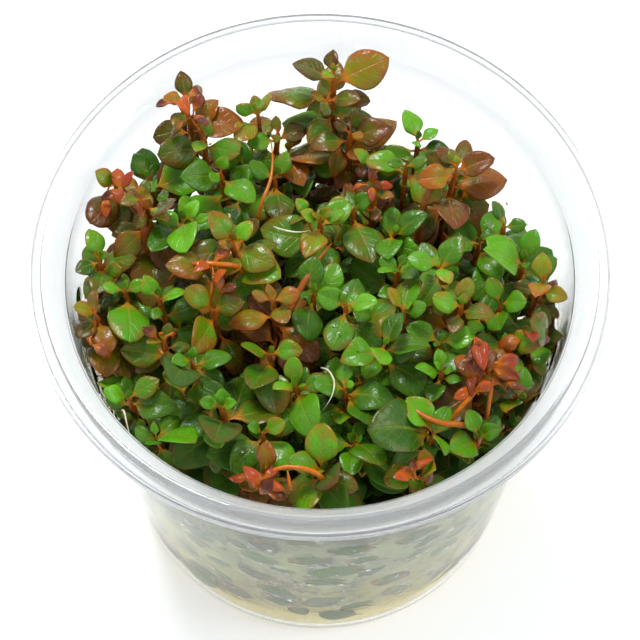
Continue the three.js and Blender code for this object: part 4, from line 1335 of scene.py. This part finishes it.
def gel_material():
    """Cloudy beige jelly with pale flecks."""
    g = Graph("agar_gel")
    clouds = g.noise(90.0, 4.0)
    flecks = g.noise(900.0, 3.0)
    colour = g.mix(g.step(clouds, 0.3, 0.7), (0.66, 0.53, 0.11), (0.78, 0.65, 0.2))
    colour = g.mix(g.step(flecks, 0.6, 0.8, 0.0, 0.4), colour, (0.55, 0.48, 0.22))
    g.set(Base_Color=colour, Roughness=g.step(flecks, 0.3, 0.7, 0.18, 0.3), Subsurface_Weight=0.25)
    g.set(Subsurface_Radius=(1.0, 0.7, 0.35), Subsurface_Scale=0.004)
    g.bump(clouds, 0.3, 0.0004)
    return g.material


def root_material():
    g = Graph("pale_root")
    patches = g.noise(700.0, 3.0)
    g.set(Base_Color=g.mix(g.step(patches, 0.35, 0.7), (0.82, 0.77, 0.6), (0.62, 0.5, 0.3)), Roughness=0.4)
    g.bump(g.noise(4000.0, 2.0), 0.3, 0.0001)
    return g.material


def water_material(name, clearness):
    g = Graph(name)
    g.set(Base_Color=g.mix(g.noise(300.0), (0.98, 1.0, 0.99), (1.0, 1.0, 1.0)))
    g.set(Roughness=0.02, IOR=1.33, Transmission_Weight=clearness)
    return g.material


def floor_material():
    """A white light table."""
    g = Graph("white_floor")
    g.set(Base_Color=g.mix(g.noise(6.0), (0.93, 0.935, 0.935), (0.95, 0.95, 0.95)), Roughness=0.6)
    g.set(Emission_Color=DAYLIGHT, Emission_Strength=FLOOR_GLOW)
    return g.material


def dress(piece, material, slot, *nodes):
    """Gives a piece its material and body, and hides the solids that it stands for. The slot is not used."""
    piece.data.materials.append(material)
    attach(piece, "root")
    if nodes:
        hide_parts(*nodes)


def slot_for(red):
    if red < 0.3:
        return "leaf_green"
    return "leaf_mixed" if red < 0.6 else "leaf_red"


def highest_first(wishes):
    return sorted(wishes, key=lambda wish: -wish.node[2])


def grow_bed(rng):
    """The stems, the numbers of each plantlet's stems, and the bed with every leaf that finds room."""
    stems, plant_stems, wishes = grow_solid_leaves()
    bed = Bed(stems)
    solid = [wish for wish in wishes if wish.blade >= SMALLEST_SOLID_LEAF]
    small = [wish for wish in wishes if wish.blade < SMALLEST_SOLID_LEAF]
    for group, moves in (
        (highest_first(solid), MOVES),
        (small + bud_wishes(stems, rng), FULL_SIZE),
        (highest_first(lower_wishes(stems, rng)), NEARLY_FULL_SIZE),
        (wall_wishes(stems, rng), NEARLY_FULL_SIZE),
    ):
        for wish in group:
            bed.settle(wish, moves)
    return stems, plant_stems, bed


def blushed(red, spread, rng):
    return float(np.clip(red + rng.normal(0, spread), 0, 1))


def add_pressed_leaf(soup, stem, leaf, spot, rng):
    """A leaf on the wall, and the stalk that reaches it from the nearest stem."""
    add_leaf(soup, leaf, blushed(stem.red - PRESSED_GREENER, 0.3, rng), rng, spot)
    joint = stem.point(max(stem.foot[2] + 1, leaf.node[2] - rng.uniform(2, 8)))
    bow = (joint + leaf.node) / 2 + [0, 0, PRESSED_STALK_RISE]
    add_thread(soup, bowed(joint, bow, leaf.node, STALK_SHARES), TWIG_RADIUS, 5, stalk_fields(stem.red, 0.3))


def add_shoot(soup, index, bed, twigs, rng):
    """A stem with its side shoots and all its leaves."""
    stem = bed.stems[index]
    leaves = [leaf for leaf in bed.leaves if leaf.stem == index]
    add_stem(soup, stem, sorted({float(leaf.node[2]) for leaf in leaves if leaf.joint >= 0}))
    for owner, *line in twigs:
        if owner == index:
            add_thread(soup, bowed(*line, STALK_SHARES), TWIG_RADIUS, 6, stalk_fields(stem.red, 0.5))
    for leaf in leaves:
        add_leaf(soup, leaf, blushed(stem.red, 0.12, rng), rng)


def wet_by_the_wall(piece, wet_shaded_material):
    """Gives the faces close to the wall the wet material, which has little shine and is darkened as painted
    shade.
    """
    piece.data.materials.append(wet_shaded_material)
    x, y, z = in_mm(piece.data.polygons, "center")
    on_wall = np.hypot(x, y) > inner_radius(z) - WET_REACH
    piece.data.polygons.foreach_set("material_index", on_wall.astype(np.int32))


def make_plants():
    """Each plantlet in one piece: what lies on the wall, what crosses the bed, then its shoots."""
    rng = np.random.default_rng(SEED)
    stems, plant_stems, bed = grow_bed(rng)
    twigs = grow_twigs(bed, stems, rng)
    pressed = press_leaves(stems, rng)
    materials = {
        "leaf_green": leaf_material("green_leaves", -0.04),
        "leaf_mixed": leaf_material("mixed_leaves", 0.0),
        "leaf_red": leaf_material("bronze_leaves", 0.04),
    }
    # Leaves on the wall: wet, with little shine, and darkened as painted shade
    wet_shaded_material = leaf_material("wet_shaded_leaves", 0.0, WET_SHINE, WET_PAINTED_SHADE)
    for number, own in enumerate(plant_stems, 1):
        soup = Soup()
        for leaf, spot in pressed:
            if leaf.stem in own:
                add_pressed_leaf(soup, stems[leaf.stem], leaf, spot, rng)
        for shoot in CURLED_SHOOTS:
            if nearest_stem(stems, shoot[0]) in own:
                add_curled_shoot(soup, bed, shoot, rng)
        for radius, brown, points in BARE_STEMS:
            if nearest_stem(stems, points[-1]) in own:
                line = bend_through(points, 3)[::-1]
                add_thread(soup, line, radius, 8, stalk_fields(0.7, brown, 0.0, 0.7))
        for index in own:
            add_shoot(soup, index, bed, twigs, rng)
        name = f"plantlet_{number:02d}"
        slot = slot_for(stems[own[0]].red)
        piece = soup.build(name + "_grown", FIELDS)
        dress(piece, materials[slot], slot, name)
        wet_by_the_wall(piece, wet_shaded_material)
    return stems, bed.leaves, pressed


# Camera and studio
CAMERA_DISTANCE = 450.0
CAMERA_ELEVATION = 62.6
CAMERA_AIM_LOWER = 1.253
CAMERA_LENS = 149.1
LAMP_AIM = (0, 0, 0.06)
LAMPS = (
    ("back_softbox", (-0.18, 0.42, 0.95), 0.32, 8.5, (0.94, 0.97, 1.0)),
    ("side_softbox", (0.75, -0.15, 0.75), 0.5, 2.6, (0.98, 0.99, 1.0)),
)
FLOOR_HALF = 3.0
FLOOR_DROP = 0.0002
FLOOR_GLOW = 0.36
DAYLIGHT = (0.95, 0.975, 1.0, 1.0)
# The room is brighter round the horizon than overhead
HORIZON_SINE = 0.3
ZENITH_SINE = 0.8
HORIZON_LIGHT = 1.1
ZENITH_LIGHT = 0.4


def make_camera():
    """The photo's view: from 63 degrees above the rim, aimed a little nearer than its centre."""
    angle = math.radians(CAMERA_ELEVATION)
    back, above = CAMERA_DISTANCE * math.cos(angle), CAMERA_DISTANCE * math.sin(angle)
    camera = bpy.data.cameras.new("camera")
    camera.lens = CAMERA_LENS
    camera.sensor_width = 36.0
    camera.clip_start = 0.01
    placed = bpy.data.objects.new("camera", camera)
    placed.location = (0.0, -back * MM, (RIM_HEIGHT + above) * MM)
    placed.rotation_euler = (math.radians(90 - CAMERA_ELEVATION - CAMERA_AIM_LOWER), 0, 0)
    bpy.context.scene.collection.objects.link(placed)
    bpy.context.scene.camera = placed


def add_softbox(name, place, size, power, colour):
    """A round soft light aimed at the cup: its place and width in metres, its power in watts."""
    light = bpy.data.lights.new(name, "AREA")
    light.shape = "DISK"
    light.size = size
    light.energy = power
    light.color = colour
    lamp = bpy.data.objects.new(name, light)
    lamp.location = place
    direction = np.array(LAMP_AIM) - np.array(place)
    flat = math.hypot(direction[0], direction[1])
    lamp.rotation_euler = (math.atan2(flat, -direction[2]), 0, math.atan2(-direction[0], direction[1]))
    bpy.context.scene.collection.objects.link(lamp)


def make_studio():
    """A plain white floor under soft light from above."""
    mesh = bpy.data.meshes.new("floor")
    corners = [(x * FLOOR_HALF, y * FLOOR_HALF, 0) for x, y in ((-1, -1), (1, -1), (1, 1), (-1, 1))]
    mesh.from_pydata(corners, [], [(0, 1, 2, 3)])
    floor = bpy.data.objects.new("floor", mesh)
    floor.location = (0, 0, -FLOOR_DROP)
    mesh.materials.append(floor_material())
    bpy.context.scene.collection.objects.link(floor)
    world = bpy.data.worlds.new("soft_room")
    world.use_nodes = True
    tree = world.node_tree
    background = tree.nodes["Background"]
    background.inputs["Color"].default_value = DAYLIGHT
    around = tree.nodes.new("ShaderNodeTexCoord")
    parts = tree.nodes.new("ShaderNodeSeparateXYZ")
    fade = tree.nodes.new("ShaderNodeMapRange")
    fade.interpolation_type = "SMOOTHSTEP"
    for socket, number in zip(fade.inputs[1:], (HORIZON_SINE, ZENITH_SINE, HORIZON_LIGHT, ZENITH_LIGHT)):
        socket.default_value = number
    tree.links.new(around.outputs["Generated"], parts.inputs[0])
    tree.links.new(parts.outputs["Z"], fade.inputs[0])
    tree.links.new(fade.outputs[0], background.inputs["Strength"])
    bpy.context.scene.world = world
    for lamp in LAMPS:
        add_softbox(*lamp)
    bpy.context.scene.view_settings.view_transform = "Standard"
    bpy.context.scene.view_settings.look = "None"


make_camera()
make_studio()
stems, leaves, pressed = make_plants()
dress(make_cup(pressed), cup_material("wall_plastic", WALL_IOR, 0.3), "cup", "cup")
bpy.data.objects["clear_cup"].data.materials.append(cup_material("rim_plastic", RIM_IOR, 0.5))
dress(make_gel(), gel_material(), "gel", "gel")
detail_rng = np.random.default_rng(SEED + 1)
dress(make_roots(stems, detail_rng), root_material(), None)
dress(make_wall_drops(pressed, detail_rng), water_material("misty_water", 0.72), None)
dress(make_leaf_drops(leaves, detail_rng), water_material("water", 1.0), None)
